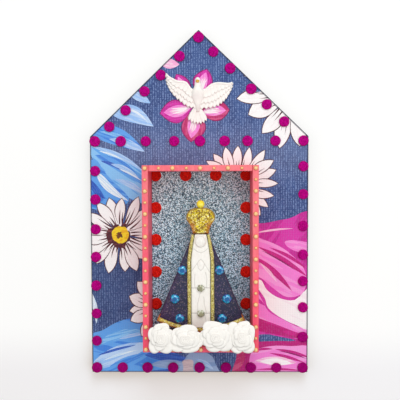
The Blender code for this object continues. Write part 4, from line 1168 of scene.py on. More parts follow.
def add_printed_cloth():
    """Cloth cut up along the print's outlines; each cell takes the ink that lies on top there."""
    shapes = draw_print().shapes
    points = []
    faces = []
    for shape in shapes:
        outline = shape[0]
        faces.append(list(range(len(points), len(points) + len(outline))))
        points.extend(outline)
    cut = delaunay_2d_cdt(points, [], faces, INSIDE_ONLY, CUT_TOLERANCE, True)
    spots, _, cells, _, _, layers_of_cells = cut
    builder = bmesh.new()
    base_layer = builder.loops.layers.float_color.new("print_base")
    streak_layer = builder.loops.layers.float_color.new("print_streak")
    stroke_layer = builder.loops.layers.float_vector.new("stroke")
    front = [builder.verts.new((p.x * MM, FABRIC_FRONT, LOWER_EDGE + p.y * MM)) for p in spots]
    for cell, layers in zip(cells, layers_of_cells):
        if 0 not in layers:
            continue
        face = builder.faces.new([front[i] for i in cell])
        _, ink_name, base, tip, half_width, seed = shapes[max(layers)]
        colour, streak, amount, weave = INKS[ink_name]
        run = tip - base
        along = run / run.length_squared
        across = Vector((-run.y, run.x)).normalized() / half_width
        for loop, i in zip(face.loops, cell):
            loop[base_layer] = (*colour[:3], weave)
            loop[streak_layer] = (*streak[:3], amount)
            offset = spots[i] - base
            loop[stroke_layer] = (offset.dot(along), offset.dot(across), seed)
    for vertex in [v for v in builder.verts if not v.link_faces]:
        builder.verts.remove(vertex)
    face_outwards(builder, merge=False)
    if sum(face.normal.y for face in builder.faces) > 0:
        bmesh.ops.reverse_faces(builder, faces=builder.faces)
    # The cloth's thickness: a rim round the cut edge and a plain back.
    rim = [edge for edge in builder.edges if edge.is_boundary]
    behind = {}
    for edge in rim:
        for vertex in edge.verts:
            if vertex not in behind:
                behind[vertex] = builder.verts.new((vertex.co.x, FABRIC_BACK, vertex.co.z))
    for edge in rim:
        inked = {loop.vert: loop for loop in edge.link_faces[0].loops}
        a, b = edge.verts
        side = builder.faces.new((a, b, behind[b], behind[a]))
        for loop, corner in zip(side.loops, (a, b, b, a)):
            loop.copy_from(inked[corner])
    bmesh.ops.edgeloop_fill(builder, edges=[edge for edge in builder.edges if edge.is_boundary])
    face_outwards(builder, merge=False)
    piece = add_piece("printed_cloth", builder, cloth_finish, smooth=False)
    outline = house_outline(FABRIC_MARGIN / MM)
    area = signed_area(outline) * MM * MM
    fit(piece, "printed_fabric", "fabric_cover")


add_printed_cloth()


# Felt dots and half-pearls.
FELT_SIDES = 36
# Reach and rise of a punched disc from its glued rim to near its middle.
FELT_PROFILE = ((0.93, 0.0), (1.0, 0.25), (1.0, 0.62), (0.95, 0.86), (0.82, 0.97), (0.55, 1.0), (0.25, 1.03))
OUT_OF_ROUND = 0.035
RIM_FUZZ = 0.02
TOP_FUZZ = 0.05
PEARL_SIDES = 20
PEARL_STEPS = 6


def make_felt_disc(name, radius, thickness, seed):
    """Punched felt disc: crowned, soft at the rim, slightly out of round."""
    builder = bmesh.new()
    rings = []
    for reach, rise in FELT_PROFILE:
        ring = []
        for angle in turns(FELT_SIDES):
            x = math.cos(angle)
            z = math.sin(angle)
            fuzz = 1.0 + OUT_OF_ROUND * noise.noise((2.6 * x, 2.6 * z, seed + 3 * rise))
            fuzz += RIM_FUZZ * noise.noise((9 * x, 9 * z, rise))
            lift = rise
            if rise > 0.5:
                lift += TOP_FUZZ * noise.noise((4 * x * reach, 4 * z * reach, seed))
            ring.append((radius * reach * fuzz * x, -thickness * lift, radius * reach * fuzz * z))
        rings.append(ring)
    add_rings(builder, rings)
    face_outwards(builder)
    return add_piece(name, builder)


def between(start, end, share):
    return tuple(a + (b - a) * share for a, b in zip(start, end))


def add_magenta_dots():
    """Rows of dots along the board's edges and its eave line, at shares of each row's length."""
    side = HALF_BOARD - DOT_INSET
    eave = LOWER_EDGE + EAVE_HEIGHT - EAVE_DOT_DROP
    base = LOWER_EDGE + DOT_INSET
    apex = (0.0, APEX - APEX_DOT_DROP)
    left_eave = (-side, eave)
    right_eave = (side, eave)
    left_base = (-side, base)
    right_base = (side, base)
    rows = (
        ("dots_roof_left", apex, left_eave, (0.0, 0.182, 0.362, 0.518, 0.700, 0.858)),
        ("dots_roof_right", apex, right_eave, (0.140, 0.300, 0.499, 0.649, 0.815)),
        ("dots_eave", left_eave, right_eave, (0.0, 0.125, 0.245, 0.382, 0.505, 0.623, 0.733, 0.866, 1.0)),
        ("dots_side_left", left_eave, left_base, (0.129, 0.254, 0.385, 0.507, 0.634, 0.758, 0.880, 1.0)),
        ("dots_side_right", right_eave, right_base, (0.111, 0.233, 0.372, 0.498, 0.615, 0.731, 0.863, 1.0)),
        ("dots_base", left_base, right_base, (0.125, 0.246, 0.371, 0.500, 0.628, 0.749, 0.873)),
    )
    for seed, (row, start, end, steps) in enumerate(rows):
        chance = random.Random(seed)
        places = []
        for step in steps:
            x, z = between(start, end, step)
            places.append(((x, FABRIC_FRONT, z), chance.uniform(0.97, 1.03)))
        disc = make_felt_disc(row + "_disc", DOT_RADIUS, DOT_THICKNESS, seed)
        fit(set_members("felt_" + row, disc, places, magenta_felt, seed), "magenta_felt", row)


def trim_at(builder, point, normal):
    """Cut away what lies past a plane and close the cut."""
    geometry = builder.verts[:] + builder.edges[:] + builder.faces[:]
    bmesh.ops.bisect_plane(builder, geom=geometry, plane_co=point, plane_no=normal, clear_outer=True)
    rim = [edge for edge in builder.edges if edge.is_boundary]
    if rim:
        bmesh.ops.edgeloop_fill(builder, edges=rim)


def add_red_dots():
    """Arch of dots on the glitter sheet, trimmed where the niche's walls hide them."""
    reach = (INNER_RIGHT - INNER_LEFT) / 2 - RED_DOT_INSET
    top = NICHE_CEILING - RED_DOT_INSET
    centres = [(reach * share, top) for share in (-1.0, -1.0 / 3, 1.0 / 3, 1.0)]
    for side in (-1.0, 1.0):
        centres += [(reach * side, top - RED_DOT_PITCH * step) for step in range(1, 5)]
    places = [((NICHE_MIDDLE + x, GLITTER_FRONT, z), 1.0) for x, z in centres]
    disc = make_felt_disc("red_disc", RED_DOT_RADIUS, DOT_THICKNESS, 5)
    piece = set_members("felt_red_dots", disc, places, red_felt, 8)
    builder = bmesh.new()
    builder.from_mesh(piece.data)
    trim_at(builder, (INNER_LEFT + GAP, 0.0, 0.0), (-1.0, 0.0, 0.0))
    trim_at(builder, (INNER_RIGHT - GAP, 0.0, 0.0), (1.0, 0.0, 0.0))
    trim_at(builder, (0.0, 0.0, NICHE_CEILING - GAP), (0.0, 0.0, 1.0))
    builder.to_mesh(piece.data)
    builder.free()
    fit(piece, "red_felt", *["niche_dot_%02d" % (i + 1) for i in range(len(centres))])


def make_half_pearl(name):
    """Dome of unit radius on a flat glued back."""
    builder = bmesh.new()
    rings = []
    for step in range(PEARL_STEPS):
        tilt = math.pi / 2 * step / PEARL_STEPS
        reach = math.cos(tilt)
        rise = -PEARL_RISE * math.sin(tilt)
        angles = turns(PEARL_SIDES)
        rings.append([(reach * math.cos(angle), rise, reach * math.sin(angle)) for angle in angles])
    add_rings(builder, rings, tip=(0.0, -PEARL_RISE, 0.0))
    face_outwards(builder)
    return add_piece(name, builder)


def add_pearls():
    """Strings of half-pearls on the niche's four front edges, large and small by turns."""
    left = NICHE_LEFT + WALL_THICKNESS / 2
    right = NICHE_RIGHT - WALL_THICKNESS / 2
    top = NICHE_TOP - WALL_THICKNESS / 2
    bottom = NICHE_BOTTOM + WALL_THICKNESS / 2
    # Each string's name, ends, count of places and first place that it fills.
    rails = (
        ("pearls_left", (left, top), (left, bottom), 17, 0),
        ("pearls_right", (right, top), (right, bottom), 17, 0),
        ("pearls_top", (left, top), (right, top), 9, 1),
        ("pearls_bottom", (left, bottom), (right, bottom), 9, 1),
    )
    for seed, (rail, start, end, count, first) in enumerate(rails):
        places = []
        for step in range(first, count - first):
            x, z = between(start, end, step / (count - 1))
            radius = SMALL_PEARL_RADIUS if step % 2 else PEARL_RADIUS
            places.append(((x, NICHE_FRONT, z), radius))
        pearl = make_half_pearl(rail + "_one")
        fit(set_members("half_" + rail, pearl, places, pearl_finish, seed), "pearl", rail)


add_magenta_dots()
add_red_dots()
add_pearls()


# Figure. Drawings are in millimetres from the middle of the niche's floor.
ROBE_HALF_WIDTH = 9.1
ROBE_NECK_HALF_WIDTH = 5.4
ROBE_TAPER = 78.6
ROBE_TOP = 104.4
ROBE_TIERS = (14.1, 27.9, 52.6)
ROBE_STEP = 0.4
ROBE_COLUMNS = 48
ROBE_ROWS = 230
CUT_WIDTH = 0.26
TIER_CUT_WIDTH = 0.30
TIER_WAVE = 0.3
CUT_DEPTH = 0.45
HANDS_HEIGHT = 76.8
HANDS_HALF_WIDTH = 1.5
HANDS_HALF_HEIGHT = 2.6
HANDS_RELIEF = 0.45
CHEST_RELIEF = 0.25
PAINT_RELIEF = 0.05
ROBE_SETBACK = 0.2
SIDE_START = 0.86
SIDE_DROP = 0.6
HEAD_HALF_WIDTH = 5.6
HEAD_HALF_HEIGHT = 6.2
HEAD_RELIEF = 2.0
HEAD_DEPTH = 0.3
HEAD_SIDES = 72
HEAD_RINGS = 30
CROWN_BASE = 105.6
CROWN_TALL = 23.6
CROWN_HALF_WIDTH = 13.2
CROWN_SKIN = 0.5
CROWN_COLUMNS = 12
DOME_STEPS = 7
DOME_START = 6
DOME_SWEEP = 100
WAIST_STEPS = 4
SKIN_FOOT = 0.4
SKIN_SEAT = 0.1
BAR_DEPTH = 0.7
BAR_SIDES = 8
BAND_STEPS = 8
BAND_SAG = 0.5
ARCH_RADIUS = 1.4
ARCH_FOOT = 2.0
ARCH_SHARES = (-0.88, 0.0, 0.88)
KNOB_RADIUS = 0.9
KNOB_LIFT = 0.2
# The crown's bands: height over its foot, half width and radius; then the places of its knobs.
CROWN_BANDS = ((1.6, 6.6, 1.1), (5.2, 7.8, 0.8))
CROWN_KNOBS = ((-5.0, 3.2), (-1.7, 2.8), (1.7, 2.8), (5.0, 3.2), (-3.2, 14.0), (3.2, 14.0), (0.0, 20.4))
BEAD_RADIUS = 4.0
# Reach and rise of the bead's facets, from its hole to its middle.
BEAD_PROFILE = ((0.16, 0.55), (0.26, 0.93), (0.62, 0.80), (0.92, 0.40), (1.0, 0.0))
FACET_SIDES = 12
SOLID_MERGE = 1e-6
TRIM_CUTS = 2
TRIM_UNEVENNESS = 0.00035
TRIM_LUMPS = 420.0
GRAIN_POLE = 0.45
SMALLEST_GRAIN = 0.00022
LARGEST_GRAIN = 0.00048
TRIM_GRAINS = 2.2e6
CROWN_GRAINS = 3.0e6
# Lines cut into the robe: sleeves, collar, middle line and folds.
ROBE_CUTS = (
    ((-8.8, 69.0), (-5.5, 73.6), (-2.2, 78.4), (0.0, 80.6), (2.2, 78.4), (5.4, 73.0), (8.8, 67.8)),
    ((-3.4, 76.6), (-2.2, 71.5), (0.0, 69.4), (2.4, 71.6), (3.6, 76.2)),
    ((-5.6, 66.0), (-6.2, 60.0), (-5.8, 53.0)),
    ((4.6, 67.6), (5.8, 61.0), (5.4, 53.0)),
    ((0.4, 52.2), (-1.4, 45.0), (-3.0, 38.0), (-3.4, 28.2)),
    ((2.8, 44.0), (3.4, 36.0), (5.2, 28.2)),
    ((3.2, 27.6), (4.8, 21.0), (4.4, 14.4)),
    ((-6.8, 90.8), (-3.2, 87.6), (0.0, 86.6), (3.2, 87.6), (6.8, 90.8)),
)


def on_figure(x, depth, height):
    return Vector((NICHE_MIDDLE + x * MM, depth, NICHE_FLOOR + height * MM))


def distance_to(chain, x, z):
    """Distance from a point to a chain of straight pieces."""
    nearest = 1e9
    for (ax, az), (bx, bz) in zip(chain, chain[1:]):
        run_x = bx - ax
        run_z = bz - az
        t = ((x - ax) * run_x + (z - az) * run_z) / (run_x * run_x + run_z * run_z)
        t = min(max(t, 0.0), 1.0)
        nearest = min(nearest, math.hypot(x - ax - run_x * t, z - az - run_z * t))
    return nearest


def robe_half_width(height):
    rise = max((height - ROBE_TAPER) / (ROBE_TOP - ROBE_TAPER), 0.0)
    return ROBE_HALF_WIDTH + (ROBE_NECK_HALF_WIDTH - ROBE_HALF_WIDTH) * rise ** 1.4


def robe_cut(x, height):
    """How deep the cut lines run at a point, from 0 to 1."""
    depth = max(bell(distance_to(chain, x, height), CUT_WIDTH) for chain in ROBE_CUTS)
    for tier in ROBE_TIERS[1:]:
        wave = tier + TIER_WAVE * noise.noise((x * 0.3, tier, 0.0))
        depth = max(depth, 1.1 * bell(height - wave, TIER_CUT_WIDTH))
    return min(depth, 1.0)


def add_robe():
    """White tiers with cut lines, each tier a little proud of the one below it."""
    builder = bmesh.new()
    cut_layer = builder.verts.layers.float.new("cut")

    def shape(i, j):
        height = ROBE_TIERS[0] + (ROBE_TOP - ROBE_TIERS[0]) * j / ROBE_ROWS
        tier = sum(height > edge for edge in ROBE_TIERS[1:])
        side = 2 * i / ROBE_COLUMNS - 1
        x = side * robe_half_width(height)
        cut = robe_cut(x, height)
        hands = HANDS_RELIEF * bell(x, HANDS_HALF_WIDTH) * bell(height - HANDS_HEIGHT, HANDS_HALF_HEIGHT)
        chest = CHEST_RELIEF * math.cos(side * math.pi / 2)
        edge = SIDE_DROP * max(abs(side) - SIDE_START, 0.0) / (1.0 - SIDE_START)
        lift = hands + chest - CUT_DEPTH * cut - edge + PAINT_RELIEF * noise.noise((x, height, 3.0))
        depth = ROBE_FRONT + ROBE_STEP * MM * (2 - tier) - (lift - ROBE_SETBACK) * MM
        return on_figure(x, depth, height), on_figure(x, ROBE_BACK, height), cut

    add_slab(builder, ROBE_COLUMNS, ROBE_ROWS, shape, cut_layer)
    face_outwards(builder)
    piece = add_piece("robe", builder, robe_white)
    fit(piece, "white_paint", "robe_lower", "robe_middle", "robe_upper")


def face_relief(u, v):
    """Height of a calm, plain face on a veiled head; u and v run from -1 to 1."""
    r = math.hypot(u, v)
    side = abs(u)
    relief = 1.35 * math.sqrt(max(1.0 - r * r, 0.0))
    relief += 0.40 * bell(r - 0.84, 0.09)
    nose_ends = (1 + math.exp((v - 0.10) / 0.05)) * (1 + math.exp(-(v + 0.27) / 0.03))
    relief += 0.34 * bell(u, 0.10) / nose_ends
    # Sockets, lids and brows on both sides: rise, middle and half size.
    for rise, (middle, height), (half_width, half_height) in (
        (-0.20, (0.27, 0.08), (0.15, 0.10)),
        (0.16, (0.27, 0.05), (0.11, 0.05)),
        (0.10, (0.26, 0.23), (0.17, 0.05)),
    ):
        relief += rise * bell(side - middle, half_width) * bell(v - height, half_height)
    # Lips, the line between them and the chin: rise, height and half size.
    for rise, height, half_width, half_height in (
        (0.13, -0.37, 0.15, 0.045),
        (-0.12, -0.41, 0.16, 0.02),
        (0.11, -0.46, 0.12, 0.04),
        (0.14, -0.60, 0.16, 0.08),
    ):
        relief += rise * bell(u, half_width) * bell(v - height, half_height)
    return relief


def add_head():
    """Head in low relief with a painted shade line between face and veil."""
    builder = bmesh.new()
    cut_layer = builder.verts.layers.float.new("cut")
    middle = ROBE_TOP - HEAD_HALF_HEIGHT
    rings = []
    for step in range(HEAD_RINGS, 0, -1):
        ring = []
        for angle in turns(HEAD_SIDES):
            u = step / HEAD_RINGS * math.cos(angle)
            v = step / HEAD_RINGS * math.sin(angle)
            depth = ROBE_FRONT - GAP - min(face_relief(u, v), HEAD_RELIEF) * MM
            ring.append(on_figure(u * HEAD_HALF_WIDTH, depth, middle + v * HEAD_HALF_HEIGHT))
        rings.append(ring)
    base = [Vector((point.x, ROBE_FRONT + HEAD_DEPTH * MM, point.z)) for point in rings[0]]
    add_rings(builder, [base] + rings)
    face_outwards(builder)
    # Painted shade along the line where the face meets the veil.
    for vertex in builder.verts:
        u = (vertex.co.x - NICHE_MIDDLE) / MM / HEAD_HALF_WIDTH
        v = ((vertex.co.z - NICHE_FLOOR) / MM - middle) / HEAD_HALF_HEIGHT
        vertex[cut_layer] = 0.5 * bell(math.hypot(u, v) - 0.72, 0.05)
    fit(add_piece("head_and_veil", builder, robe_white), "white_paint", "head")


def make_grain():
    """One glitter grain: a flattened eight-sided crystal."""
    builder = bmesh.new()
    tips = [builder.verts.new(p) for p in ((1, 0, 0), (0, 1, 0), (-1, 0, 0), (0, -1, 0))]
    for pole in (GRAIN_POLE, -GRAIN_POLE):
        top = builder.verts.new((0.0, 0.0, pole))
        for i in range(4):
            builder.faces.new((tips[i], tips[(i + 1) % 4], top))
    face_outwards(builder)
    return add_piece("grain", builder, smooth=False)


def coat_with_grains(name, builder, finish, density, seed):
    """Glue lump with glitter grains all over it."""
    settings = {
        "Grain": make_grain(), "Finish": finish, "Density": density, "Seed": seed,
        "Smallest": SMALLEST_GRAIN, "Largest": LARGEST_GRAIN,
    }
    return run_tree(name, add_piece(name + "_lump", builder), grain_tree, settings)


def roughen(builder, seed):
    """Hand-laid unevenness over a merged solid."""
    bmesh.ops.subdivide_edges(builder, edges=builder.edges[:], cuts=TRIM_CUTS, use_grid_fill=True)
    builder.normal_update()
    shift = Vector((seed, seed * 0.7, 0.0))
    for vertex in builder.verts:
        place = vertex.co * TRIM_LUMPS
        wave = noise.noise(place + shift) + 0.5 * noise.noise(place * 2.7 + shift)
        vertex.co += vertex.normal * TRIM_UNEVENNESS * wave


def add_trims():
    """Gold braids down the robe and its gold hem, on uneven copies of their solids."""
    trims = (
        ("trim_left", "braid_left", gold_glitter),
        ("trim_right", "braid_right", gold_glitter),
        ("trim_hem", "hem_trim", hem_glitter),
    )
    for seed, (name, solid, finish) in enumerate(trims):
        builder = bmesh.new()
        builder.from_mesh(nodes[solid].data)
        bmesh.ops.remove_doubles(builder, verts=builder.verts, dist=SOLID_MERGE)
        roughen(builder, seed + 1.0)
        fit(coat_with_grains(name, builder, finish, TRIM_GRAINS, seed), "gold_paint", solid)


def crown_outline():
    """Right half of the crown's outline from the top down."""
    points = []
    for i in range(DOME_STEPS + 1):
        turn = math.radians(DOME_START + DOME_SWEEP * i / DOME_STEPS)
        height = CROWN_BASE + CROWN_TALL * (0.62 + 0.38 * math.cos(turn))
        points.append(Vector((CROWN_HALF_WIDTH * math.sin(turn) ** 0.8, height)))
    for i in range(1, WAIST_STEPS + 1):
        left = 1.0 - i / WAIST_STEPS
        waist = 0.55 + 0.42 * left ** 1.6
        points.append(Vector((CROWN_HALF_WIDTH * waist, CROWN_BASE + CROWN_TALL * 0.52 * left)))
    return points


def add_bar(builder, spine, radius):
    """Round bar along points on the figure's plane, with closed ends."""
    out = Vector((0.0, -1.0, 0.0))
    rings = []
    for i, point in enumerate(spine):
        ahead = spine[min(i + 1, len(spine) - 1)] - spine[max(i - 1, 0)]
        side = Vector((-ahead.z, 0.0, ahead.x)).normalized()
        ring = [radius * MM * (math.cos(angle) * side + math.sin(angle) * out) for angle in turns(BAR_SIDES)]
        rings.append([point + offset for offset in ring])
    add_rings(builder, rings)


def add_crown_glitter():
    """Glittered face of the crown: a thin skin, two bands, three arches and small knobs."""
    builder = bmesh.new()
    outline = crown_outline()

    def skin(i, j):
        point = outline[j]
        rise = (point.y - CROWN_BASE) / CROWN_TALL
        height = CROWN_BASE + SKIN_FOOT + (point.y - CROWN_BASE) * 0.98
        across = (0.91 + 0.09 * rise) * (2 * i / CROWN_COLUMNS - 1)
        depth = CROWN_FRONT - CROWN_SKIN * MM * (1.2 - across * across)
        x = -point.x * across
        return on_figure(x, depth, height), on_figure(x, CROWN_FRONT + SKIN_SEAT * MM, height), 0.0

    add_slab(builder, CROWN_COLUMNS, len(outline) - 1, skin)
    face = CROWN_FRONT - BAR_DEPTH * MM
    for share in ARCH_SHARES:
        arch = [(p.x * share, CROWN_BASE + ARCH_FOOT + (p.y - CROWN_BASE) * 0.86) for p in outline[1:]]
        add_bar(builder, [on_figure(x, face, height) for x, height in arch], ARCH_RADIUS)
    for height, reach, radius in CROWN_BANDS:
        spine = []
        for i in range(BAND_STEPS + 1):
            across = 2 * i / BAND_STEPS - 1
            sag = BAND_SAG * (1 - across * across)
            spine.append(on_figure(reach * across, face, CROWN_BASE + height - sag))
        add_bar(builder, spine, radius)
    for x, height in CROWN_KNOBS:
        place = Matrix.Translation(on_figure(x, face - KNOB_LIFT * MM, CROWN_BASE + height))
        bmesh.ops.create_icosphere(builder, subdivisions=2, radius=KNOB_RADIUS * MM, matrix=place)
    face_outwards(builder, merge=False)
    fit(coat_with_grains("crown_glitter_face", builder, crown_glitter, CROWN_GRAINS, 9), "gold_paint")


def add_bead():
    """Faceted yellow bead on the crown's pin."""
    builder = bmesh.new()
    low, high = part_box("crown_bead")
    middle = (Vector(low) + Vector(high)) / 2
    rings = []
    profile = BEAD_PROFILE + tuple((reach, -rise) for reach, rise in BEAD_PROFILE[-2::-1])
    for step, (reach, rise) in enumerate(profile):
        ring = []
        for angle in turns(FACET_SIDES, 0.5 * (step % 2)):
            flat = Vector((math.cos(angle), math.sin(angle), 0.0)) * reach
            ring.append(middle + BEAD_RADIUS * MM * (flat + Vector((0.0, 0.0, rise))))
        rings.append(ring)
    add_rings(builder, rings)
    cut_facets(builder)
    face_outwards(builder)
    fit(add_piece("faceted_bead", builder, yellow_glass, smooth=False), "yellow_glass", "crown_bead")


# Stones: the painted glints of their facets, and the reach and rise of each band from the table to the back.
BLUE_GLINTS = (
    ink(0, 150, 206), ink(0, 182, 226), ink(64, 212, 240), ink(10, 104, 170),
    ink(90, 116, 206), ink(0, 82, 140), ink(0, 166, 214), ink(30, 196, 232),
)
CLEAR_GLINTS = (
    ink(226, 230, 214), ink(168, 168, 132), ink(112, 112, 76),
    ink(246, 248, 240), ink(192, 198, 168), ink(136, 144, 118),
)
STONE_PROFILE = ((0.50, 0.60), (0.80, 0.46), (1.0, 0.16), (0.92, 0.0))
STONE_FULLNESS = 0.56


def make_stone(name, glints, seed):
    """Flat-backed stone of unit radius with a table and three bands of facets."""
    chance = random.Random(seed)
    builder = bmesh.new()
    glint_layer = builder.loops.layers.float_color.new("glint")
    rings = []
    for step, (reach, rise) in enumerate(STONE_PROFILE):
        angles = turns(FACET_SIDES, 0.5 * (step % 2))
        rings.append([(reach * math.cos(angle), -rise, reach * math.sin(angle)) for angle in angles])
    add_rings(builder, rings)
    cut_facets(builder)
    face_outwards(builder)
    for face in builder.faces:
        colour = chance.choice(glints)
        for loop in face.loops:
            loop[glint_layer] = colour
    return add_piece(name, builder, smooth=False)


def add_stones():
    """Blue stones on the mantle and clear ones on the robe."""
    blue = ["mantle_stone_%s_%d" % (side, row) for side in ("left", "right") for row in (1, 2, 3)]
    clear = ["robe_stone_1", "robe_stone_2"]
    for name, members, glints, finish, slot_name in (
        ("blue_stones", blue, BLUE_GLINTS, blue_facets, "blue_stone"),
        ("clear_stones", clear, CLEAR_GLINTS, clear_facets, "clear_stone"),
    ):
        places = []
        for member in members:
            low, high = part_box(member)
            radius = (high[0] - low[0]) * STONE_FULLNESS
            places.append((((low[0] + high[0]) / 2, high[1], (low[2] + high[2]) / 2), radius))
        stone = make_stone(name + "_one", glints, len(members))
        fit(set_members(name, stone, places, finish, 4), slot_name, *members)


add_robe()
add_head()
add_trims()
add_crown_glitter()
add_bead()
add_stones()


# Roses: sideways place, rise, half width and half height in millimetres, and a seed for each.
ROSES = (
    (-37.2, -1.4, 12.3, 15.0, 3),
    (-13.9, -1.2, 16.2, 12.8, 5),
    (14.0, 0.0, 16.2, 15.0, 7),
    (38.5, -0.3, 13.0, 16.4, 11),
)
ROSE_DROP = 0.8
ROSE_SQUARENESS = 0.12
ROSE_DEPTH = 10.5
PETAL_THICKNESS = 0.45
PETAL_COLUMNS = 14
PETAL_ROWS = 9
PETAL_ROOT = 1.5
# Rings of petals: how many, half spread, reach, height over the back and swell.
PETAL_RINGS = ((5, 0.80, 1.0, 4.2, 0.5), (5, 0.80, 0.77, 5.2, 0.5), (4, 1.0, 0.56, 6.2, 0.5))
RING_TURN = 0.7
BUD_RADIUS = 4.6
BUD_TURNS = 3.2
BUD_HEIGHT = 8.0
BUD_FOOT = 4.0
BUD_DOME = 0.9
BUD_FOLD = 0.6
BUD_WOBBLE = 0.10
BUD_SIDES = 56
BUD_STEPS = 40
# Radius and height of the foam base that sits on the niche's floor.
BASE_PROFILE = ((3.5, 3.2), (8.0, 1.6), (8.2, -0.2), (6.6, -2.4), (6.2, -9.6))
BASE_SIDES = 20


def add_petal(builder, fold_layer, to_rose, petal):
    """One petal as a closed thin body; petal gives (radius, angle, depth) at s and t."""

    def shape(i, j):
        t = j / PETAL_ROWS
        radius, angle, depth = petal(2 * i / PETAL_COLUMNS - 1, t)
        back = to_rose(radius, angle, depth - PETAL_THICKNESS)
        # The mark is painted shade, deepest at the petal's root.
        return to_rose(radius, angle, depth), back, 0.5 * (1.0 - t) ** 2

    add_slab(builder, PETAL_COLUMNS, PETAL_ROWS, shape, fold_layer)


def foam_petal(middle, spread, reach, lift, swell, chance):
    """Broad soft petal with a round, uneven end that is rolled back."""
    phase = chance.uniform(0.0, 6.0)
    overlap = chance.uniform(0.3, 0.6)
    roll = chance.uniform(0.2, 0.5)
    notch = chance.uniform(0.22, 0.36)

    def petal(s, t):
        edge = 1.0 - notch * abs(s) ** 2.6 + 0.03 * math.sin(4 * s + phase)
        radius = PETAL_ROOT + (reach * edge - PETAL_ROOT) * t
        angle = middle + spread * s * (0.85 + 0.15 * t)
        depth = lift + swell * math.sin(math.pi * 0.6 * t) - roll * (max(t - 0.6, 0.0) / 0.4) ** 2
        return radius, angle, depth + (overlap * s - 0.25 * abs(s) ** 3 + 0.2 * math.sin(3.0 * s + phase)) * t

    return petal


def add_bud(builder, fold_layer, to_rose, start, chance):
    """Rolled heart: a low dome whose surface steps down along a spiral."""
    wobble = chance.uniform(0.0, 9.0)
    rings = [[to_rose(BUD_RADIUS * 0.9, angle, BUD_FOOT) for angle in turns(BUD_SIDES)]]
    folds = [[0.0] * BUD_SIDES]
    for step in range(BUD_STEPS, 0, -1):
        reach = step / BUD_STEPS
        ring = []
        fold_ring = []
        for angle in turns(BUD_SIDES):
            bend = BUD_WOBBLE * noise.noise((2 * math.cos(angle), 2 * math.sin(angle), wobble + reach))
            turn = (reach * BUD_TURNS + bend - (angle + start) / (2 * math.pi)) % 1.0
            depth = BUD_HEIGHT - BUD_DOME * reach ** 2 + BUD_FOLD * turn ** 1.5
            ring.append(to_rose(BUD_RADIUS * reach, angle, depth))
            # Painted shade lines where the spiral steps down.
            fold_ring.append(0.75 * bell(min(turn, 1.0 - turn), 0.11))
        rings.append(ring)
        folds.append(fold_ring)
    for loop, fold_ring in zip(add_rings(builder, rings), folds):
        for vertex, fold_shade in zip(loop, fold_ring):
            vertex[fold_layer] = fold_shade


def add_rose(name, offset, rise, half_width, half_height, seed):
    """Foam rose: three rings of petals round a rolled heart, on a base."""
    chance = random.Random(seed)
    low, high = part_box(name)
    height = (low[2] + high[2]) / 2 + (rise - ROSE_DROP) * MM
    middle = Vector((NICHE_MIDDLE + offset * MM, 0.0, height))
    back = low[1] + ROSE_DEPTH * MM
    reach = (half_width + half_height) / 2

    def to_rose(radius, angle, depth):
        full = radius * (1.0 + ROSE_SQUARENESS * math.sin(2 * angle) ** 2)
        x = full * math.cos(angle) * half_width / reach
        z = full * math.sin(angle) * half_height / reach
        return middle + Vector((x * MM, back - depth * MM, z * MM))

    builder = bmesh.new()
    fold_layer = builder.verts.layers.float.new("fold_shade")
    start = chance.uniform(0.0, 6.0)
    for ring, (count, spread, share, lift, swell) in enumerate(PETAL_RINGS):
        for i in range(count):
            angle = start + RING_TURN * ring + 2 * math.pi * (i + chance.uniform(-0.14, 0.14)) / count
            length = reach * share * chance.uniform(0.90, 1.06)
            petal = foam_petal(angle, spread, length, lift, swell, chance)
            add_petal(builder, fold_layer, to_rose, petal)
    add_bud(builder, fold_layer, to_rose, start, chance)
    base_rings = []
    for radius, depth in BASE_PROFILE:
        base_rings.append([to_rose(radius, angle, depth) for angle in turns(BASE_SIDES)])
    add_rings(builder, base_rings)
    face_outwards(builder, merge=False)
    fit(add_piece("foam_" + name, builder, petal_white), "white_petal", name)


for rose_number, rose in enumerate(ROSES, start=1):
    add_rose("rose_%d" % rose_number, *rose)


# Dove, in millimetres on the board: x from the middle, height above the lower edge.
LEFT_LEADING = (
    (-32.2, 300.0), (-30.4, 297.4), (-28.0, 295.4), (-25.4, 294.0), (-22.5, 292.2), (-18.5, 291.6),
    (-13.9, 291.2), (-11.3, 289.2), (-9.2, 286.2), (-7.2, 284.2), (-3.0, 283.4),
)
LEFT_TRAILING = (
    (-32.2, 300.0), (-31.6, 294.2), (-30.4, 288.9), (-28.4, 284.4), (-26.0, 280.0), (-22.1, 275.2),
    (-17.7, 271.4), (-13.0, 267.9), (-8.2, 265.9), (-4.0, 265.6),
)
RIGHT_LEADING = (
    (33.2, 291.0), (31.4, 289.8), (27.5, 289.4), (22.8, 289.9), (18.0, 289.9), (14.0, 288.9), (10.9, 287.2),
    (8.5, 285.2), (6.0, 283.7), (2.0, 283.0),
)
RIGHT_TRAILING = (
    (33.2, 291.0), (32.7, 287.3), (31.5, 282.8), (29.5, 278.4), (26.8, 273.8), (23.5, 270.6), (19.6, 267.6),
    (14.9, 265.8), (9.2, 264.8), (3.2, 264.5),
)
TAIL_TIPS = (
    (-10.2, 253.6), (-7.4, 251.4), (-4.2, 250.0), (-0.9, 249.6), (2.4, 249.8), (5.4, 250.9), (8.0, 253.0),
)
TAIL_ROOT = (-3.2, 266.5)
TAIL_ROOT_STEP = 0.5
TAIL_WIDTH = 4.8
TAIL_THICKNESS = 0.7
TAIL_DEPTH = 1.2
TAIL_STAGGER = 0.25
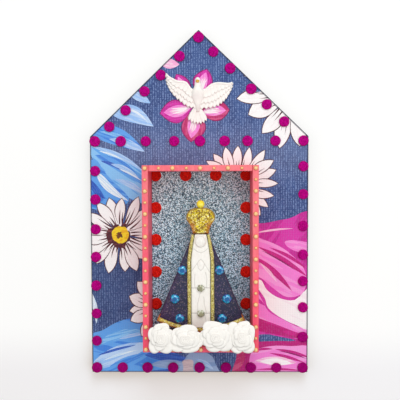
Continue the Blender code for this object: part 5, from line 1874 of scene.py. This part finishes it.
# Rows of wing feathers: how many, where they start and end across the wing, depth and width.
FEATHER_ROWS = ((12, 0.30, 1.0, 0.6, 7.0), (12, 0.15, 0.74, 1.2, 6.6), (10, 0.05, 0.44, 1.8, 6.6))
FEATHER_COLUMNS = 6
FEATHER_STEPS = 10
FEATHER_THICKNESS = 0.85
FEATHER_STAGGER = 0.05
FEATHER_SEAT = 0.4
SHOULDER_COLUMNS = 8
SHOULDER_STEPS = 20
SHOULDER_DEPTH = 2.6
EDGE_STEPS = 14
EDGE_SIDES = 10
EDGE_DEPTH = 1.8
EDGE_RADIUS = 0.5
EDGE_SWELL = 0.9
# The body from tail to crown: height, half width and depth at each station.
BODY_STATIONS = (
    (262.0, 1.8, 2.4), (265.5, 2.4, 3.0), (268.5, 2.7, 3.2), (271.5, 4.0, 3.6), (275.0, 5.6, 4.4),
    (279.0, 6.2, 5.8), (283.0, 5.1, 6.6), (286.5, 3.6, 6.0), (289.5, 3.0, 5.8), (292.4, 2.9, 6.0),
    (294.4, 2.4, 5.6), (295.8, 1.2, 4.4),
)
BODY_MIDDLE = -0.9
BODY_STEPS = 32
BODY_SIDES = 24
BODY_RUFFLE = 0.16
RUMP_TOP = 271.0
RUMP_LENGTH = 5.0
BEAK_PLACE = (-1.0, 292.0)
BEAK_BACK = 4.9
BEAK_LENGTH = 3.0
BEAK_RADIUS = 2.0
BEAK_TIP_RADIUS = 0.15
BEAK_DROP = 0.7
BEAK_SIDES = 12


def on_dove(x, depth, height):
    return Vector((x * MM, DOVE_BACK - depth * MM, LOWER_EDGE + height * MM))


def add_feather(builder, fold_layer, root, tip, width, depth, thickness):
    """Leaf-shaped feather with a rounded back and end."""
    root = Vector(root)
    run = Vector(tip) - root
    side = Vector((-run.y, run.x)).normalized()

    def shape(i, j):
        t = j / FEATHER_STEPS
        s = 2 * i / FEATHER_COLUMNS - 1
        half = width / 2 * (0.62 + 0.38 * math.sin(math.pi * min(t, 0.7) / 1.4))
        half *= math.sqrt(max(1.0 - t ** 6, 0.02))
        place = root + run * (t - 0.06 * s * s * t) + side * half * s
        rise = thickness * (1.0 - 0.95 * s * s) * (0.55 + 0.45 * t)
        front = on_dove(place.x, depth + rise, place.y)
        back = on_dove(place.x, depth - FEATHER_SEAT, place.y)
        # The mark is painted shade at the feather's root and along its sides.
        return front, back, min(1.0, 0.5 * (1 - t) ** 2 + s ** 4)

    add_slab(builder, FEATHER_COLUMNS, FEATHER_STEPS, shape, fold_layer)


def add_wing(builder, fold_layer, leading, trailing):
    """Smooth shoulder of the wing with three rows of feathers that come out from under it."""

    def shoulder(i, j):
        share = j / SHOULDER_STEPS
        across = i / SHOULDER_COLUMNS
        start = on_curve(leading, 0.03 + 0.97 * share)
        end = on_curve(trailing, 0.03 + 0.97 * share)
        place = start.lerp(end, (0.30 + 0.22 * share) * across)
        depth = SHOULDER_DEPTH * (1.0 - 0.5 * across ** 2)
        return on_dove(place.x, depth, place.y), on_dove(place.x, 0.0, place.y), 0.0

    add_slab(builder, SHOULDER_COLUMNS, SHOULDER_STEPS, shoulder)
    for count, first, last, depth, width in FEATHER_ROWS:
        for i in range(count):
            share = 0.05 + 0.92 * i / (count - 1)
            start = on_curve(leading, share)
            end = on_curve(trailing, min(share + 0.03, 1.0))
            root = start.lerp(end, first)
            tip = start.lerp(end, last)
            full = width * (0.36 + 0.64 * math.sin(math.pi / 2 * min(share * 2.2, 1.0)))
            staggered = depth + FEATHER_STAGGER * i
            add_feather(builder, fold_layer, root, tip, full, staggered, FEATHER_THICKNESS)
    # Rounded leading edge.
    spine = [on_curve(leading, j / EDGE_STEPS) for j in range(EDGE_STEPS + 1)]
    rings = []
    for j, point in enumerate(spine):
        ahead = (spine[min(j + 1, EDGE_STEPS)] - spine[max(j - 1, 0)]).normalized()
        across = Vector((-ahead.y, ahead.x))
        radius = EDGE_RADIUS + EDGE_SWELL * math.sin(math.pi * (0.10 + 0.8 * j / EDGE_STEPS))
        ring = []
        for angle in turns(EDGE_SIDES):
            place = point + across * radius * math.cos(angle)
            ring.append(on_dove(place.x, EDGE_DEPTH + radius * 0.9 * math.sin(angle), place.y))
        rings.append(ring)
    add_rings(builder, rings)


def add_dove_body(builder, fold_layer):
    """Breast, neck and head as one drop, warmer and darker towards the tail, partly painted shade."""
    stations = [Vector(station) for station in BODY_STATIONS]
    rings = []
    warm_shade = []
    for step in range(BODY_STEPS + 1):
        height, half, deep = on_curve(stations, step / BODY_STEPS)
        ring = []
        for angle in turns(BODY_SIDES):
            ruffle = BODY_RUFFLE * noise.noise((3 * math.cos(angle), height * 0.55, 2.0))
            depth = deep / 2 * (1.0 + math.sin(angle))
            ring.append(on_dove(BODY_MIDDLE + (half + ruffle) * math.cos(angle), depth + ruffle, height))
        rings.append(ring)
        warm_shade.append(0.8 * min(max((RUMP_TOP - height) / RUMP_LENGTH, 0.0), 1.0))
    for loop, fold_shade in zip(add_rings(builder, rings), warm_shade):
        for vertex in loop:
            vertex[fold_layer] = fold_shade


def add_dove():
    """Cast dove with spread wings and a fan of tail feathers."""
    builder = bmesh.new()
    fold_layer = builder.verts.layers.float.new("fold_shade")
    add_wing(builder, fold_layer, LEFT_LEADING, LEFT_TRAILING)
    add_wing(builder, fold_layer, RIGHT_LEADING, RIGHT_TRAILING)
    for i, tip in enumerate(TAIL_TIPS):
        root = (TAIL_ROOT[0] + TAIL_ROOT_STEP * i, TAIL_ROOT[1])
        depth = TAIL_DEPTH + TAIL_STAGGER * (i % 2)
        add_feather(builder, fold_layer, root, tip, TAIL_WIDTH, depth, TAIL_THICKNESS)
    add_dove_body(builder, fold_layer)
    face_outwards(builder, merge=False)
    fit(add_piece("cast_dove", builder, dove_finish), "white_resin", "dove")


def add_beak():
    """Gold beak that points down and forwards."""
    builder = bmesh.new()
    x, height = BEAK_PLACE
    rings = []
    for share in (0.0, 0.35, 0.7, 1.0):
        radius = BEAK_RADIUS * (1.0 - share) ** 0.7 + BEAK_TIP_RADIUS
        depth = BEAK_BACK + BEAK_LENGTH * share
        ring = []
        for angle in turns(BEAK_SIDES):
            rise = radius * math.sin(angle) - BEAK_DROP * share
            ring.append(on_dove(x + radius * math.cos(angle), depth, height + rise))
        rings.append(ring)
    add_rings(builder, rings)
    face_outwards(builder)
    fit(add_piece("dove_beak_gold", builder, beak_gold), "gold_paint")


add_dove()
add_beak()


# Studio: wall, floor, light and camera.
WALL_BEHIND = 0.0006
WALL_TOP = 1.2
FLOOR = LOWER_EDGE - 0.35
FLOOR_FRONT = -2.0
COVE_RADIUS = 0.15
COVE_STEPS = 8
STAGE_HALF_WIDTH = 8.0
FLOOR_SHADE = (LOWER_EDGE - 0.010, LOWER_EDGE + 0.050)
WORLD_COLOUR = (1.0, 0.995, 0.985, 1.0)
WORLD_LIGHT = 0.38
WORLD_SEEN = 0.62
LAMP_AIM = Vector((0.0, 0.0, 0.03))
# Each lamp's name, place, size and power.
LAMPS = (
    ("key_light", (0.15, -1.00, 0.95), 0.8, 7.0),
    ("right_light", (0.75, -1.20, 0.10), 1.6, 7.3),
    ("left_light", (-0.75, -1.20, 0.10), 1.6, 4.4),
)
CAMERA_PLACE = (0.0104, -0.644, 0.0441)
CAMERA_YAW = math.radians(-0.86)
CAMERA_PITCH = math.radians(-2.67)
CAMERA_ROLL = math.radians(-0.19)
CAMERA_LENS = 56.9
SENSOR_WIDTH = 36.0
NEAREST = 0.01


def make_wall_finish():
    """Pale wall and floor that take the shadow and are only seen from the front."""
    wiring = Finish("studio_white")
    spot = wiring.place()
    mottle = wiring.noise(spot, 3.0, 2.0)
    # High on the wall a strong glow lightens its shadows; from just above the board's lower edge down, the
    # glow is weak and warm: painted warm shade under the board.
    low = wiring.span(wiring.axes(spot)[2], *FLOOR_SHADE, 1.0, 0.0)
    pale = wiring.mix(mottle, (0.66, 0.80, 0.95, 1.0), (0.65, 0.79, 0.94, 1.0))
    wiring.wear(
        Base_Color=wiring.mix(low, (0.40, 0.40, 0.41, 1.0), pale), Roughness=0.95, Specular_IOR_Level=0.0,
        Emission_Color=wiring.mix(low, (0.60, 0.60, 0.58, 1.0), (0.27, 0.13, 0.0, 1.0)),
        Emission_Strength=1.0,
    )
    light = wiring.node("LightPath").outputs
    facing = wiring.minus(1.0, wiring.node("NewGeometry").outputs["Backfacing"])
    seen = wiring.times(light["Is Camera Ray"], facing)
    for ray in ("Is Glossy Ray", "Is Transmission Ray"):
        seen = wiring.math("MAXIMUM", seen, light[ray])
    clear = wiring.node("BsdfTransparent").outputs[0]
    shown = wiring.node("MixShader", {0: seen, 1: clear, 2: wiring.surface.outputs[0]}).outputs[0]
    wiring.fill(wiring.tree.nodes["Material Output"].inputs, {"Surface": shown})
    return wiring.material


def add_backdrop():
    """Wall just behind the board that sweeps into a floor well below it."""
    builder = bmesh.new()
    profile = [(WALL_BEHIND, WALL_TOP), (WALL_BEHIND, FLOOR + COVE_RADIUS)]
    for i in range(1, COVE_STEPS + 1):
        angle = math.pi / 2 * i / COVE_STEPS
        depth = WALL_BEHIND - COVE_RADIUS * (1 - math.cos(angle))
        profile.append((depth, FLOOR + COVE_RADIUS - COVE_RADIUS * math.sin(angle)))
    profile.append((FLOOR_FRONT, FLOOR))
    across = [STAGE_HALF_WIDTH * share for share in (-1.0, -0.5, 0.0, 0.5, 1.0)]
    add_grid(builder, [[(x, y, z) for x in across] for y, z in profile])
    face_outwards(builder, merge=False)
    builder.faces.ensure_lookup_table()
    if builder.faces[0].normal.y > 0:
        bmesh.ops.reverse_faces(builder, faces=builder.faces)
    backdrop = add_piece("studio_backdrop", builder, make_wall_finish())


def add_light():
    """White surroundings, dim as light and bright to the camera, and three soft lamps."""
    world = bpy.data.worlds.new("studio_world")
    scene.world = world
    world.use_nodes = True
    wiring = Wiring(world.node_tree)
    to_camera = wiring.node("LightPath").outputs["Is Camera Ray"]
    strength = wiring.plus(wiring.times(to_camera, WORLD_SEEN), WORLD_LIGHT)
    wiring.fill(world.node_tree.nodes["Background"].inputs, {"Color": WORLD_COLOUR, "Strength": strength})
    for name, place, size, power in LAMPS:
        lamp = bpy.data.lights.new(name, "AREA")
        lamp.shape = "DISK"
        lamp.size = size
        lamp.energy = power
        stand = add_object(name, lamp)
        stand.location = place
        stand.visible_camera = False
        stand.rotation_euler = (LAMP_AIM - Vector(place)).to_track_quat("-Z", "Y").to_euler()


def add_camera():
    """Camera that looks ahead along +Y, turned by its yaw, pitch and roll."""
    level = math.cos(CAMERA_PITCH)
    forward = Vector((math.sin(CAMERA_YAW) * level, math.cos(CAMERA_YAW) * level, math.sin(CAMERA_PITCH)))
    right = forward.cross(Vector((0.0, 0.0, 1.0))).normalized()
    up = right.cross(forward)
    turned_right = math.cos(CAMERA_ROLL) * right + math.sin(CAMERA_ROLL) * up
    turned_up = math.cos(CAMERA_ROLL) * up - math.sin(CAMERA_ROLL) * right
    camera_data = bpy.data.cameras.new("front_camera")
    camera_data.sensor_width = SENSOR_WIDTH
    camera_data.lens = CAMERA_LENS
    camera_data.clip_start = NEAREST
    camera = add_object("front_camera", camera_data)
    turn = Matrix((turned_right, turned_up, -forward)).transposed().to_4x4()
    camera.matrix_world = Matrix.Translation(CAMERA_PLACE) @ turn
    scene.camera = camera


add_backdrop()
add_light()
add_camera()
scene.view_settings.view_transform = "Standard"
